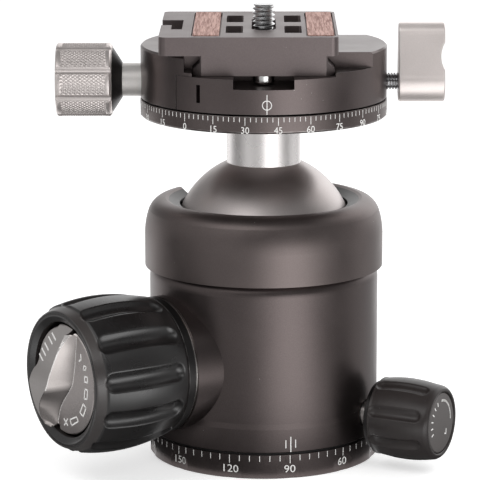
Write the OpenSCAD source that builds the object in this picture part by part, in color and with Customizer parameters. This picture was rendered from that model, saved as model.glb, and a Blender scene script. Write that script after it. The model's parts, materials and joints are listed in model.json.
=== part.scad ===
// Tripod ball head: a geared-up photo head with a panning base, a locking ball in a slotted
// housing, a panning dovetail clamp and its quick-release plate. Millimetres, +Z up.
// Origin: centre of the underside of the base, on the axis of the tripod thread.
// Directions in degrees are turned about +Z from +X.

/* [Base] */
// How far the base plate and its scale stand out past the housing wall
base_over = 0.2; // [0.1:0.05:1]
// Height of the base plate
base_h = 6.9; // [6:0.1:8]
// Direction of the 90 degree mark on the base scale
base_scale_az = -77; // [-180:1:180]
// Wall radius of the 3/8-16 tripod thread
tripod_r = 3.99; // [3.9:0.01:4.2]
// Radius of the post that the housing pans on
post_r = 15; // [14:0.5:17]
// Number of thumb pockets round the base
pocket_count = 12; // [6:1:24]

/* [Housing] */
// Thickness of the housing wall outside the ball
body_wall = 6.8; // [6.2:0.1:8]
// Standing proud of the low band at the foot of the housing
foot_over = 0.2; // [0.1:0.05:1]
// Height of the lowest point of the ball above the underside
ball_low = 35.2; // [34.8:0.1:36]
// How far the collar stands out past the wall
collar_over = 1.35; // [1:0.05:3]
// Fall from the ball's centre to the lower edge of the collar
collar_drop = 5.9; // [5:0.1:7]
// Rise from the ball's centre to the highest point of the collar's rolled rim
rim_rise = 13.4; // [12:0.1:15]
// Width of the dished face between the cavity and the rim's highest line
rim_lip = 1.6; // [1.4:0.1:2.4]
// Radius of the roll of the rim
roll_r = 5; // [4.5:0.1:5.5]
// Fall of the dished face inside the rim, in degrees
dish_deg = 22; // [10:1:35]
// Direction of the drop slot
slot_az = 124.35; // [0:0.05:360]
// Clearance of the neck in the drop slot, each side
slot_gap = 1.0; // [0.6:0.1:2]

/* [Ball] */
// Radius of the ball
ball_r = 26; // [24:0.5:28]
// Radius of the bright neck
neck_r = 10.6; // [9:0.1:11]
// Rise from the ball's centre to the top of the neck, where the scale disc sits
neck_rise = 37.45; // [36:0.05:39]
// Running gap of the ball in its seat and liner
ball_gap = 0.06; // [0.02:0.01:0.1]

/* [Main lock knob] */
// Direction that the main knob points
main_az = 214.35; // [180:0.05:270]
// Height of its axis
main_z = 30.2; // [29.8:0.1:31]
// Radius of the boss on the housing
boss_r = 19.2; // [18:0.1:19.5]
// How far the boss stands out past the wall
boss_out = 2.1; // [1.8:0.1:3]
// Greatest radius of the rubber grip
grip_r = 22; // [21:0.1:23]
// Length of the rubber grip
grip_len = 30.1; // [28:0.1:32]
// Number of grooves in the grip
grip_grooves = 12; // [8:1:16]
// Turn of the first groove from straight up
groove_phase = 7.8; // [0:0.1:30]
// Radius of the tension dial
dial_r = 15.5; // [14:0.1:16]
// Slope of the lifting wedge, in degrees
wedge_deg = 20; // [15:1:21]

/* [Pan lock knob] */
// Direction that the pan knob points
pan_az = -27.4; // [-60:0.1:0]
// Height of its axis
pan_z = 14.5; // [14:0.1:14.8]
// Greatest radius of its grip
pan_grip_r = 11.6; // [10:0.1:12.5]
// Length of the knob along its axis
pan_len = 20.1; // [18:0.1:22]
// Number of grooves in its grip
pan_grooves = 8; // [6:1:12]

/* [Clamp] */
// Radius of the clamp disc
clamp_r = 35; // [34:0.1:36]
// How far the scale disc under it stands out
scale_over = 0.1; // [0:0.05:1]
// Thickness of the scale disc
scale_h = 4.95; // [4.5:0.05:6]
// Height of the channel floor above the underside of the clamp
clamp_h = 9.55; // [9.3:0.05:10]
// Height of the jaws above the channel floor
jaw_h = 5.3; // [5:0.1:6]
// Where the moving jaw is split from the clamp
split_x = -24.2; // [-25:0.1:-23.5]
// Height of the clamp knob's axis above the underside of the clamp
clamp_knob_h = 4.5; // [4.2:0.05:4.8]
// Radius of the knurled clamp knob
knurl_r = 10.45; // [9:0.05:11]
// Number of flutes in the clamp knob
knurl_flutes = 8; // [6:1:10]
// Height of the pan lever's axis above the underside of the clamp
lever_h = 4; // [3.8:0.05:4.2]
// Direction of the zero of the top scale
top_scale_az = -128.4; // [-180:0.1:180]

/* [Plate] */
// Half width of the dovetail foot
dove_x = 19.6; // [18.8:0.1:20]
// Half length of the plate
plate_y = 27.5; // [26:0.5:28]
// Thickness of the plate's head above the jaws
head_h = 5.2; // [5:0.1:6]
// Half width of the plate's head on its short side
head_x = 20.6; // [20:0.1:21]
// Reach of the overhang with the strap slot
over_x = -29; // [-31:0.5:-27]
// Radius of the 1/4-20 camera screw
screw_r = 3.175; // [3.1:0.005:3.2]
// How far the camera screw stands out of the plate
screw_out = 5.8; // [5:0.1:7]
// Distance of the two stop screws from the middle
stop_y = 24.6; // [24.4:0.1:24.8]

/* [Hidden] */
$fn = 96;
body_r = ball_r + body_wall;
base_r = body_r + base_over;
ball_z = ball_low + ball_r;
neck_top = ball_z + neck_rise;
house_z = base_h + 0.55;
foot_r = body_r + foot_over;
collar_r = body_r + collar_over;
collar_z = ball_z - collar_drop;
rim_z = ball_z + rim_rise;
boss_end = body_r + boss_out;
pan_l = body_r + 3.8;
pan_end = pan_l + pan_len;
scale_r = clamp_r + scale_over;
clamp_z = neck_top + scale_h + 0.45;
floor_z = clamp_z + clamp_h;
jaw_top = floor_z + jaw_h;
plate_top = jaw_top + 0.3 + head_h;
screw_top = plate_top + screw_out;
clamp_knob_z = clamp_z + clamp_knob_h;
lever_z = clamp_z + lever_h;
track_top = plate_top - 6.2;
slab_z = 19.6;
ledge_z = 23.3;
shoulder_z = slab_z + 0.6;
cavity_r = ball_r + 0.6;
rim_r = cavity_r + rim_lip;
neck_foot = ball_z + sqrt(ball_r * ball_r - neck_r * neck_r);
skirt_r = body_r - 2.4;
neck_ring_z = collar_z + 10.7;
slot_r = neck_r + slot_gap;
lean_z = collar_z + 9.2;
lean_r = 20;
roll_deg = 21.5;
pan_depth = 1.8;
wedge_tan = tan(wedge_deg);
ramp_z = 28.6;
ramp_top = ramp_z + 12 * wedge_tan;
carrier_z = ramp_top + 0.43;
seat_z = carrier_z + 3.4;
knob_l = boss_end + 0.5;
grip_l = knob_l + 2.7;
grip_end = grip_l + grip_len;
core_end = grip_end - 8.2;
spigot_r = 13;
neck_screw_r = screw_r - 0.75;
keeper_r = 15.5;
cone_l = clamp_r + 5.1;
lever_l = clamp_r + 3.2;
tuck_h = 3.4;
tuck_r = 5;
flange_top = floor_z - 2.6;
scale_top = clamp_z - 0.45;
nose_x = dove_x - 1.85;
dove_z = floor_z + 1.7;
groove_z = floor_z - 2.7;
black = [0.13, 0.13, 0.14];
rubber = [0.06, 0.06, 0.065];
gunmetal = [0.22, 0.22, 0.23];
silver = [0.72, 0.71, 0.69];
steel = [0.62, 0.62, 0.63];
bronze = [0.62, 0.45, 0.22];
pom = [0.85, 0.84, 0.8];
cork = [0.5, 0.3, 0.24];

// ---- helpers ----

// A ring from radius a to radius b, from height z0 to z1
module ring(a, b, z0, z1) {
  difference() {
    translate([0, 0, z0]) cylinder(r = b, h = z1 - z0);
    translate([0, 0, z0 - 1]) cylinder(r = a, h = z1 - z0 + 2);
  }
}

// A plain disc from height z0 to z1
module rod(r, z0, z1) {
  translate([0, 0, z0]) cylinder(r = r, h = z1 - z0);
}

// Children stand on an axis that leaves the pan axis level, in direction az, at height z.
// Their own +Z points outward and their own -X points up.
module radial(az, z) {
  translate([0, 0, z]) rotate([0, 0, az]) rotate([0, 90, 0]) children();
}

// Children keep +Z up, and their +X points in direction az
module turned(az) {
  rotate([0, 0, az]) children();
}

// Upright block with rounded corners, from [x0, y0] to [x1, y1]
module rounded(x0, y0, x1, y1, z0, z1, r) {
  translate([x0 + r, y0, z0]) cube([x1 - x0 - 2 * r, y1 - y0, z1 - z0]);
  translate([x0, y0 + r, z0]) cube([x1 - x0, y1 - y0 - 2 * r, z1 - z0]);
  for (x = [x0 + r, x1 - r], y = [y0 + r, y1 - r])
    translate([x, y, z0]) cylinder(r = r, h = z1 - z0);
}

// Hollow that the neck drops into
module drop_slot() {
  translate([0, 0, ball_z]) turned(slot_az) {
    translate([12, 0, 0]) rotate([0, 90, 0]) cylinder(r = slot_r, h = 40);
    translate([12, -slot_r, 0]) cube([40, 2 * slot_r, 30]);
  }
}

// Everything above the dished face inside the rim
module dish_cut() {
  fall = tan(dish_deg) * rim_r;
  rotate_extrude() polygon([[0, rim_z - fall], [rim_r, rim_z], [rim_r, rim_z + 15],
    [0, rim_z + 15]]);
}

// A turned post with a V groove at height z, used as a cutter with a grown radius
module grooved(r, z, depth, z0, z1) {
  rotate_extrude() polygon([[0, z0], [r, z0], [r, z - depth], [r - depth, z],
    [r, z + depth], [r, z1], [0, z1]]);
}

// ---- base, which stays with the tripod ----

module base_plate() color(black) difference() {
  union() {
    rod(base_r, 0.35, base_h);
    cylinder(r1 = base_r - 0.35, r2 = base_r, h = 0.35);
  }
  rod(7, -1, base_h + 1);
  // friction face: two broad grooves round the underside
  ring(15.6, 20, -1, 0.6);
  ring(23, 28, -1, 0.6);
  // screw holes
  for (i = [0:2]) turned(120 * i + 30) translate([12.6, 0, 0]) {
    rod(1.5, -1, base_h + 1);
    translate([0, 0, -0.01]) cylinder(r = 2.9, h = 0.46);
    translate([0, 0, 0.45]) cylinder(r1 = 2.9, r2 = 1.5, h = 1.4);
  }
  // arched pockets that carry the numbers
  for (i = [0:pocket_count - 1]) turned(base_scale_az + i * 360 / pocket_count)
    intersection() {
      translate([base_r + 22 - 0.5, 0, -1]) cylinder(r = 22, h = base_h);
      translate([base_r - 3, 0, 0]) union() {
        translate([0, 0, 0.9]) rotate([0, 90, 0]) cylinder(r = 4, h = 6);
        translate([0, -4, -2]) cube([6, 8, 2.9]);
      }
    }
}

module tripod_bush() color(steel) difference() {
  union() {
    rod(7, 0, base_h + 2);
    rod(9.6, base_h, base_h + 2);
  }
  rod(tripod_r, -1, base_h + 5);
}

module pan_post() color(steel) difference() {
  union() {
    grooved(post_r, pan_z, pan_depth, base_h, shoulder_z);
    rod(post_r - 2, base_h, shoulder_z + 2.6);
  }
  rod(10.2, base_h - 1, 30);
  for (i = [0:2]) turned(120 * i + 30) translate([12.6, 0, 0]) rod(1.5, 0, 11.9);
}

module base_screws() color(steel)
  for (i = [0:2]) turned(120 * i + 30) translate([12.6, 0, 0]) difference() {
    union() {
      translate([0, 0, 0.45]) cylinder(r1 = 2.9, r2 = 1.5, h = 1.4);
      rod(1.5, 0.5, 11.7);
    }
    translate([0, 0, 0.2]) cylinder(r = 1.15, h = 1.2, $fn = 6);
  }

module glide_ring() color(pom) ring(17.5, base_r - 0.8, base_h, house_z - 0.05);

module thrust_washer() color(pom)
  ring(post_r + 0.03, 18.7, slab_z + 0.05, shoulder_z);

module post_ring() color(steel) difference() {
  ring(post_r - 2, 18.8, shoulder_z, shoulder_z + 2.6);
  for (a = [0, 180]) turned(a) translate([16.2, 0, 0]) rod(1.2, shoulder_z + 1, 40);
}

// ---- housing, which pans on the base ----

// Side view of the wall: straight, then tucked in under the collar
module body_side() {
  translate([0, house_z + 6]) square([body_r, collar_z - tuck_h - house_z - 6]);
  intersection() {
    translate([body_r - tuck_r, collar_z - tuck_h]) circle(r = tuck_r);
    translate([0, collar_z - tuck_h]) square([body_r + 1, tuck_h]);
  }
}

module housing_shell() color(black) difference() {
  union() {
    rod(foot_r, house_z + 0.3, house_z + 6.8);
    translate([0, 0, house_z]) cylinder(r1 = foot_r - 0.3, r2 = foot_r, h = 0.3);
    translate([0, 0, house_z + 6.8]) cylinder(r1 = foot_r, r2 = body_r, h = 1.6);
    rotate_extrude() body_side();
    rod(skirt_r, collar_z - 1, neck_ring_z);
    radial(main_az, main_z) rod(boss_r, 15, boss_end);
  }
  rod(post_r + 0.05, 0, slab_z + 1);
  rod(19.3, slab_z, ledge_z + 1);
  rod(cavity_r, ledge_z, rim_z);
  rod(cavity_r + 1.7, ball_z - 1.2, rim_z);
  drop_slot();
  radial(main_az, main_z) rod(8, 20, boss_end + 2);
  radial(pan_az, pan_z) {
    rod(4.05, 10, 23);
    rod(4.6, 22.9, pan_l - 8.7);
    rod(3.95, pan_l - 9.8, pan_l);
  }
}

// Side view of the collar's solid before it is bored: a straight wall that leans in, then the roll
module collar_side() {
  square([collar_r, lean_z - collar_z]);
  intersection() {
    translate([collar_r - lean_r, lean_z - collar_z]) circle(r = lean_r);
    translate([0, lean_z - collar_z]) square([collar_r + 1, rim_z - lean_z]);
  }
}

module collar() color(black) difference() {
  translate([0, 0, collar_z]) rotate_extrude() collar_side();
  // the rolled corner
  rotate_extrude() difference() {
    polygon([[rim_r, rim_z - roll_r], [rim_r + 20 * cos(roll_deg), rim_z - roll_r + 20 * sin(roll_deg)],
      [rim_r + 20, rim_z + 20], [rim_r, rim_z + 20]]);
    translate([rim_r, rim_z - roll_r]) circle(r = roll_r);
  }
  rod(skirt_r, collar_z - 1, neck_ring_z);
  rod(cavity_r + 1.7, collar_z, neck_ring_z + 4);
  rod(cavity_r + 0.65, ball_z - 1.2, rim_z + 15);
  dish_cut();
  drop_slot();
}

module collar_liner() color(black) difference() {
  union() {
    rod(cavity_r + 1.68, ball_z - 1.15, neck_ring_z + 3.95);
    rod(cavity_r + 0.63, ball_z, rim_z + 10);
  }
  dish_cut();
  translate([0, 0, ball_z]) sphere(r = ball_r + ball_gap);
  rod(ball_r - 1.9, ball_z, rim_z + 15);
  drop_slot();
}

module spindle_bush() color(bronze) radial(main_az, main_z)
  ring(4.05, 8, cavity_r + 0.7, boss_end - 0.3);

module pan_bush() color(bronze) radial(pan_az, pan_z) ring(3.05, 4.6, 23.2, pan_l - 8.8);

// ---- pan lock: shoe, screw and knob ----

module pan_pad() color(bronze) difference() {
  radial(pan_az, pan_z) rod(4, 10, 21.8);
  grooved(post_r + 0.06, pan_z, pan_depth, 0, 40);
}

module pan_screw() color(silver) radial(pan_az, pan_z) {
  rod(3, 21.85, pan_l - 7.8);
  rod(3.5, pan_l - 8.4, pan_l + 0.7);
  rod(2.5, pan_l + 0.2, pan_l + 16.4);
}

module pan_hub() color(black) radial(pan_az, pan_z) difference() {
  union() {
    rod(9.8, pan_l, pan_l + 1.4);
    rod(8.4, pan_l + 1.2, pan_end - 1.7);
  }
  rod(3.5, pan_l - 0.8, pan_l + 0.7);
  rod(2.5, pan_l + 0.2, pan_l + 16.4);
}

module pan_grip() color(rubber) radial(pan_az, pan_z) difference() {
  rotate_extrude() intersection() {
    translate([8.4, pan_l + 1.4]) square([6, pan_len - 1.4]);
    translate([pan_grip_r - 40, pan_l + 9.6]) circle(r = 40);
    translate([pan_grip_r, 0]) polygon([[-5, pan_l + 1.4], [-1.1, pan_l + 1.4], [-0.4, pan_l + 2.1],
      [1, pan_l + 3], [1, pan_end - 2], [-1.05, pan_end - 0.9], [-1.9, pan_end], [-5, pan_end]]);
  }
  rod(8.7, pan_end - 1.7, pan_end + 4);
  for (i = [0:pan_grooves - 1])
    turned(24.5 + i * 360 / pan_grooves) translate([pan_grip_r + 1.6, 0, 0]) {
      rod(2.6, pan_l + 4.6, pan_end - 4.4);
      for (l = [pan_l + 4.6, pan_end - 4.4]) translate([0, 0, l]) sphere(r = 2.6);
    }
}

module pan_cap() color(black) radial(pan_az, pan_z) {
  rod(8.6, pan_end - 1.7, pan_end - 0.6);
  translate([0, 0, pan_end - 0.6]) cylinder(r1 = 8.6, r2 = 8.3, h = 0.3);
}

// ---- main lock: wedge, spindle and knob ----

// Side view of the wedge: distance along the knob's axis, then height
module wedge_side() {
  polygon([[-24, ledge_z + 0.05], [24.4, ledge_z + 0.05], [24.4, ramp_top], [21, ramp_top],
    [9, ramp_z], [-9, ramp_z], [-9, ramp_top], [-21, ramp_z], [-24, ramp_z]]);
}

module lock_wedge() color(steel) difference() {
  turned(main_az) rotate([90, 0, 0]) translate([0, 0, -7]) linear_extrude(14) wedge_side();
  radial(main_az, main_z) rod(2.46, 19.8, 30);
}

module lock_spindle() color(steel) radial(main_az, main_z) {
  rod(2.4, 20.2, boss_end - 7.4);
  rod(4, boss_end - 7.9, core_end - 8);
}

module knob_washer() color(silver) radial(main_az, main_z)
  ring(4, boss_r - 0.5, boss_end + 0.06, knob_l);

module knob_hub() color(black) radial(main_az, main_z) difference() {
  union() {
    rod(19.3, knob_l + 0.4, grip_l);
    translate([0, 0, knob_l]) cylinder(r1 = 18.9, r2 = 19.3, h = 0.4);
    rod(17, grip_l - 1, core_end);
  }
  rod(4, boss_end, core_end - 8);
  rod(5.05, core_end - 5, core_end + 1);
}

module knob_grip() color(rubber) radial(main_az, main_z) difference() {
  rotate_extrude() intersection() {
    translate([16.3, grip_l]) square([8, grip_len]);
    translate([grip_r - 52, grip_l + 16]) circle(r = 52);
    polygon([[0, grip_l], [19.1, grip_l], [20.3, grip_l + 1.3], [24, grip_l + 3],
      [24, grip_end - 3.1], [20.7, grip_end - 1.4], [19.3, grip_end], [0, grip_end]]);
  }
  rod(17, grip_l - 1, core_end);
  translate([0, 0, grip_end - 1.2]) cylinder(r1 = 16.29, r2 = 17.6, h = 1.21);
  for (i = [0:grip_grooves - 1])
    turned(180 + groove_phase + i * 360 / grip_grooves) translate([grip_r + 1.35, 0, 0]) {
      rod(3.2, grip_l + 4.4, grip_end - 5.6);
      for (l = [grip_l + 4.4, grip_end - 5.6]) translate([0, 0, l]) sphere(r = 3.2);
    }
}

// Outline of the thumb grip on the dial: a fin above, and a heel that reaches the edge
module comma() {
  intersection() {
    circle(r = dial_r - 0.3);
    polygon([[-14.4, 5], [-8.4, 0.7], [-4.3, -1.8], [0.15, -4.3], [-1.2, -9], [-1.2, -20], [20, -20],
      [20, -3.9], [13.9, -4.1], [10.9, -3.6], [7.7, -2.1], [5, 0.3], [1.3, 3.8], [-1, 4.6],
      [-5.1, 5.5], [-9.8, 6.15], [-14.2, 6.7]]);
  }
}

module tension_dial() color(silver) radial(main_az, main_z) difference() {
  union() {
    rod(dial_r, core_end + 0.2, grip_end - 1.4);
    rod(5, core_end - 4.8, core_end + 1);
    difference() {
      translate([0, 0, grip_end - 2]) linear_extrude(3.6) comma();
      // the right flank falls from the crest to the face of the dial
      translate([0, 0, grip_end + 1.6]) turned(-30.8) translate([-30, -3.66, 0])
        rotate([-24.5, 0, 0]) cube([60, 20, 10]);
    }
  }
  // notches in the outline
  turned(160) translate([dial_r + 0.5, 0, 0]) rod(2, core_end, grip_end + 2);
  turned(-22) translate([dial_r + 0.6, 0, 0]) rod(2.5, core_end, grip_end + 2);
}

// ---- seat that the wedge lifts ----

module seat_carrier() color(steel) {
  difference() {
    rod(cavity_r - 0.1, carrier_z, seat_z + 4);
    rod(ball_r - 15.5, carrier_z - 1, ball_z);
    rod(ball_r - 1.45, seat_z, ball_z);
  }
  turned(main_az) for (l = [10, -20]) intersection() {
    rotate([90, 0, 0]) translate([0, 0, -6.5]) linear_extrude(13)
      polygon([[l, carrier_z + 1], [l, ramp_z + wedge_tan + 0.04],
        [l + 10, ramp_z + 11 * wedge_tan + 0.04], [l + 10, carrier_z + 1]]);
    ring(10.5, 22, slab_z, ball_z);
  }
}

module ball_seat() color(pom) difference() {
  ring(ball_r - 12.5, ball_r - 1.5, seat_z + 0.05, seat_z + 8.4);
  translate([0, 0, ball_z]) sphere(r = ball_r + ball_gap / 2);
}

// ---- ball, neck and the fixed half of the top pan ----

module ball() color(gunmetal) difference() {
  translate([0, 0, ball_z]) sphere(r = ball_r);
  rod(neck_r + 1, neck_foot, neck_top + 3);
  rod(6, ball_z + 10, ball_z + 40);
}

module stem() color(silver) difference() {
  union() {
    rod(6, ball_z + 10, neck_foot + 0.3);
    rod(neck_r, neck_foot, neck_top);
  }
  rod(4, ball_z + 18, neck_top + 1);
}

module scale_disc() color(black) difference() {
  union() {
    translate([0, 0, neck_top]) cylinder(r1 = scale_r - 0.5, r2 = scale_r, h = 0.5);
    rod(scale_r, neck_top + 0.5, scale_top);
  }
  rod(4, neck_top - 1, scale_top + 1);
}

module pan_spigot() color(steel) difference() {
  grooved(spigot_r, lever_z, 1.5, scale_top, flange_top + 0.1);
  rod(4, scale_top - 1, flange_top + 1);
  rod(6.5, flange_top - 1, flange_top + 1);
}

module spigot_keeper() color(steel) difference() {
  rod(keeper_r, flange_top + 0.1, floor_z - 0.3);
  rod(6.5, flange_top - 1, floor_z + 1);
  for (a = [45, 225]) turned(a) translate([10.5, 0, 0]) rod(1.3, flange_top + 1, floor_z + 1);
}

module stem_bolt() color(steel) difference() {
  union() {
    rod(4, ball_z + 18, flange_top);
    rod(6.5, flange_top - 1, floor_z - 0.4);
  }
  translate([0, 0, floor_z - 2.6]) cylinder(r = 3.4, h = 4, $fn = 6);
}

// ---- clamp, which pans on the spigot ----

// Upright prism over a side view drawn in X and Z
module along_y(half) {
  rotate([90, 0, 0]) translate([0, 0, -half]) linear_extrude(2 * half) children();
}

module clamp_disc() {
  translate([0, 0, clamp_z]) cylinder(r = clamp_r, h = jaw_top - clamp_z - 0.5);
  translate([0, 0, jaw_top - 0.5]) cylinder(r1 = clamp_r, r2 = clamp_r - 0.5, h = 0.5);
}

module clamp_body() color(black) difference() {
  intersection() {
    clamp_disc();
    along_y(clamp_r + 5) polygon([[split_x + 0.1, clamp_z], [clamp_r + 5, clamp_z],
      [clamp_r + 5, jaw_top], [nose_x, jaw_top], [nose_x, dove_z + 2.05], [dove_x + 0.2, dove_z + 0.05],
      [dove_x + 0.2, floor_z], [split_x + 0.1, floor_z]]);
  }
  rod(spigot_r + 0.05, clamp_z - 1, flange_top + 1);
  rod(keeper_r + 0.3, flange_top, floor_z + 1);
  for (s = [0, 180]) turned(s) {
    // channel that the stop screws run in
    translate([-8.4, -clamp_r - 5, groove_z]) cube([16.8, clamp_r + 12 - stop_y, 5]);
  }
  // flats milled on the ends of the fixed jaw
  for (s = [-1, 1]) translate([10, s * 27.5 - 10, floor_z + 1]) cube([40, 20, 10]);
  // narrow window in the wall
  turned(-121) translate([clamp_r - 2.4, -0.6, clamp_z + 2.55]) cube([5, 1.2, 5]);
  // clamp screw, guide pins, brake shoe and its bolt
  translate([0, 0, clamp_knob_z]) rotate([0, -90, 0]) rod(3.05, 16.6, clamp_r + 5);
  for (y = [-12.5, 12.5]) translate([0, y, lever_z - 0.05]) rotate([0, -90, 0]) rod(1.8, 10, 40);
  translate([0, 0, lever_z]) rotate([0, 90, 0]) {
    rod(2.65, 10, 20.4);
    rod(2.55, 20, clamp_r + 5);
  }
}

module guide_pins() color(steel) for (y = [-12.5, 12.5])
  translate([0, y, lever_z - 0.05]) rotate([0, -90, 0]) rod(1.8, 10.2, 29.5);

module jaw() color(black) difference() {
  intersection() {
    clamp_disc();
    along_y(clamp_r + 5) polygon([[split_x - 0.1, clamp_z], [-clamp_r - 5, clamp_z],
      [-clamp_r - 5, jaw_top], [-nose_x, jaw_top], [-nose_x, dove_z + 2.05], [-dove_x - 0.2, dove_z + 0.05],
      [-dove_x - 0.2, floor_z + 0.1], [split_x - 0.1, floor_z + 0.1]]);
  }
  for (s = [-1, 1]) translate([-22, s * 29.5 - 10, floor_z + 1]) cube([40, 20, 10]);
  for (y = [-12.5, 12.5]) translate([0, y, lever_z - 0.05])
    rotate([0, -90, 0]) rod(1.86, 20, 30.2);
  translate([0, 0, clamp_knob_z]) rotate([0, -90, 0]) {
    rod(3.1, 20, clamp_r + 5);
    rod(4.9, clamp_r - 1.6, clamp_r + 5);
  }
}

// ---- clamp knob ----

module on_left() {
  translate([0, 0, clamp_knob_z]) rotate([0, -90, 0]) children();
}

module clamp_screw() color(silver) on_left() {
  rod(3, 17, clamp_r - 1);
  rod(4.7, clamp_r - 1.55, cone_l);
  rod(3, cone_l - 0.1, cone_l + 15.9);
}

module clamp_cone() color(black) on_left() difference() {
  translate([0, 0, cone_l]) cylinder(r1 = 4.9, r2 = 9.2, h = 2.8);
  rod(3, cone_l - 1.1, cone_l + 3.9);
}

module clamp_grip() color(silver) on_left() difference() {
  union() {
    translate([0, 0, cone_l + 2.8]) cylinder(r1 = knurl_r - 0.6, r2 = knurl_r, h = 0.6);
    rod(knurl_r, cone_l + 3.4, cone_l + 18.2);
    translate([0, 0, cone_l + 18.2]) cylinder(r1 = knurl_r, r2 = knurl_r - 0.6, h = 0.6);
  }
  rod(3, cone_l - 0.1, cone_l + 15.9);
  for (i = [0:knurl_flutes - 1]) turned(22.5 + i * 360 / knurl_flutes)
    translate([knurl_r + 1.35, 0, 0]) rod(2.2, cone_l + 1.9, cone_l + 20);
  rod(6.8, cone_l + 18.3, cone_l + 20);
}

// ---- top pan lock ----

module on_right() {
  translate([0, 0, lever_z]) rotate([0, 90, 0]) children();
}

module top_pad() color(bronze) difference() {
  on_right() rod(2.6, 10, 19.8);
  grooved(spigot_r + 0.06, lever_z, 1.5, clamp_z - 4, clamp_z + 16);
}

module lever_bolt() color(steel) on_right() rod(2.5, 19.85, lever_l + 8.8);

module thumb_lever() color(silver) on_right() difference() {
  union() {
    rod(5.8, lever_l, lever_l + 13.2);
    translate([-13.8, -3, lever_l]) cube([13.8, 6, 13.2]);
    translate([-13.8, 0, 0]) rod(3, lever_l, lever_l + 13.2);
  }
  rod(2.5, lever_l - 0.2, lever_l + 8.8);
  // saddle in the outer end, between the hub and the tip
  translate([-7.6, -10, lever_l + 19.3]) rotate([-90, 0, 0]) cylinder(r = 7.2, h = 20);
}

// ---- quick-release plate ----

// Plan of the dovetail foot, with its four corners cut off
module foot_side() polygon([[dove_x + 1, plate_y - 3.4], [dove_x - 2.4, plate_y],
  [2.4 - dove_x, plate_y], [-dove_x - 1, plate_y - 3.4], [-dove_x - 1, 3.4 - plate_y],
  [2.4 - dove_x, -plate_y], [dove_x - 2.4, -plate_y], [dove_x + 1, 3.4 - plate_y]]);

module plate() color(black) difference() {
  union() {
    intersection() {
      translate([0, 0, floor_z]) linear_extrude(jaw_top + 3 - floor_z) foot_side();
      along_y(plate_y + 3) polygon([[-dove_x, floor_z + 0.05], [dove_x, floor_z + 0.05],
        [dove_x, dove_z], [dove_x - 2, dove_z + 2], [dove_x - 2, jaw_top + 1.1],
        [2 - dove_x, jaw_top + 1.1], [2 - dove_x, dove_z + 2], [-dove_x, dove_z]]);
    }
    rounded(over_x, -plate_y, head_x, plate_y, jaw_top + 0.3, plate_top, 2);
  }
  // camera screw: long slot above, wide track below
  rounded(-3.4, -12.6, 3.4, 12.6, groove_z, screw_top, 3.3);
  rounded(-8.1, -17.2, 8.1, 17.2, groove_z, track_top, 8);
  // paired pockets
  for (x = [-8.2, 8.2], y = [-11.2, 11.2])
    rounded(x - 2.4, y - 7.2, x + 2.4, y + 7.2, plate_top - 4.6, screw_top, 0.6);
  // strap slot, open to the side
  translate([over_x - 1, -2.2, groove_z]) cube([7.1, 10.6, 20]);
  translate([over_x + 3, -11, groove_z]) cube([3.1, 12, 20]);
  // beds of the pads
  for (x = [-16, 15.8])
    rounded(x - 4.05, -plate_y + 2.75, x + 4.05, plate_y - 2.75, plate_top - 1, screw_top, 1.2);
  for (y = [-stop_y, stop_y]) translate([0, y, 0]) rod(1.5, groove_z, track_top);
}

module plate_pads() color(cork)
  for (x = [-16, 15.8])
    rounded(x - 3.65, -plate_y + 3.15, x + 3.65, plate_y - 3.15, plate_top - 1, plate_top + 0.25, 0.9);

module stop_screws() color(silver) for (y = [-stop_y, stop_y]) translate([0, y, 0]) {
  difference() {
    union() {
      rod(3, groove_z + 0.9, floor_z + 0.05);
      translate([0, 0, groove_z + 0.2]) cylinder(r1 = 2.3, r2 = 3, h = 0.7);
    }
    translate([0, 0, groove_z]) cylinder(r = 1.15, h = 1.4, $fn = 6);
  }
  rod(1.5, groove_z + 1.6, track_top - 0.2);
}

module screw_washer() color(steel) ring(neck_screw_r + 0.06, 7.4, track_top - 0.8, track_top - 0.05);

module camera_screw() color(steel) difference() {
  union() {
    rod(7.4, floor_z + 0.7, track_top - 0.85);
    rod(neck_screw_r, track_top - 1.2, track_top + 3.8);
    rod(screw_r - 0.3, track_top + 3.3, plate_top + 0.3);
    rod(screw_r, plate_top + 0.3, screw_top - 0.5);
    translate([0, 0, screw_top - 0.5]) cylinder(r1 = screw_r, r2 = screw_r - 0.5, h = 0.5);
  }
  translate([-0.8, -8, floor_z]) cube([1.6, 16, 2]);
}

base_plate();
tripod_bush();
pan_post();
base_screws();
glide_ring();
thrust_washer();
post_ring();
housing_shell();
collar();
collar_liner();
spindle_bush();
pan_bush();
pan_pad();
pan_screw();
pan_hub();
pan_grip();
pan_cap();
lock_wedge();
lock_spindle();
knob_washer();
knob_hub();
knob_grip();
tension_dial();
seat_carrier();
ball_seat();
ball();
stem();
scale_disc();
pan_spigot();
spigot_keeper();
stem_bolt();
clamp_body();
guide_pins();
jaw();
clamp_screw();
clamp_cone();
clamp_grip();
top_pad();
lever_bolt();
thumb_lever();
plate();
plate_pads();
stop_screws();
screw_washer();
camera_screw();
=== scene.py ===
# %% [markdown]
# # A tripod ball head in Blender
# A ball head holds a camera on a tripod: a ball in a slotted housing, a big lock knob with a
# friction dial, a panning base, and a clamp with a sliding plate on top. The solids come from
# the CAD model and already stand in their places, in metres, so this lesson only dresses them:
# it rounds their edges, cuts their knurls, grips and threads, prints their scales, and gives
# each one the finish of its metal, rubber or plastic.

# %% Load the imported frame
import bpy, bmesh, json, math
from mathutils import Matrix, Vector


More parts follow.
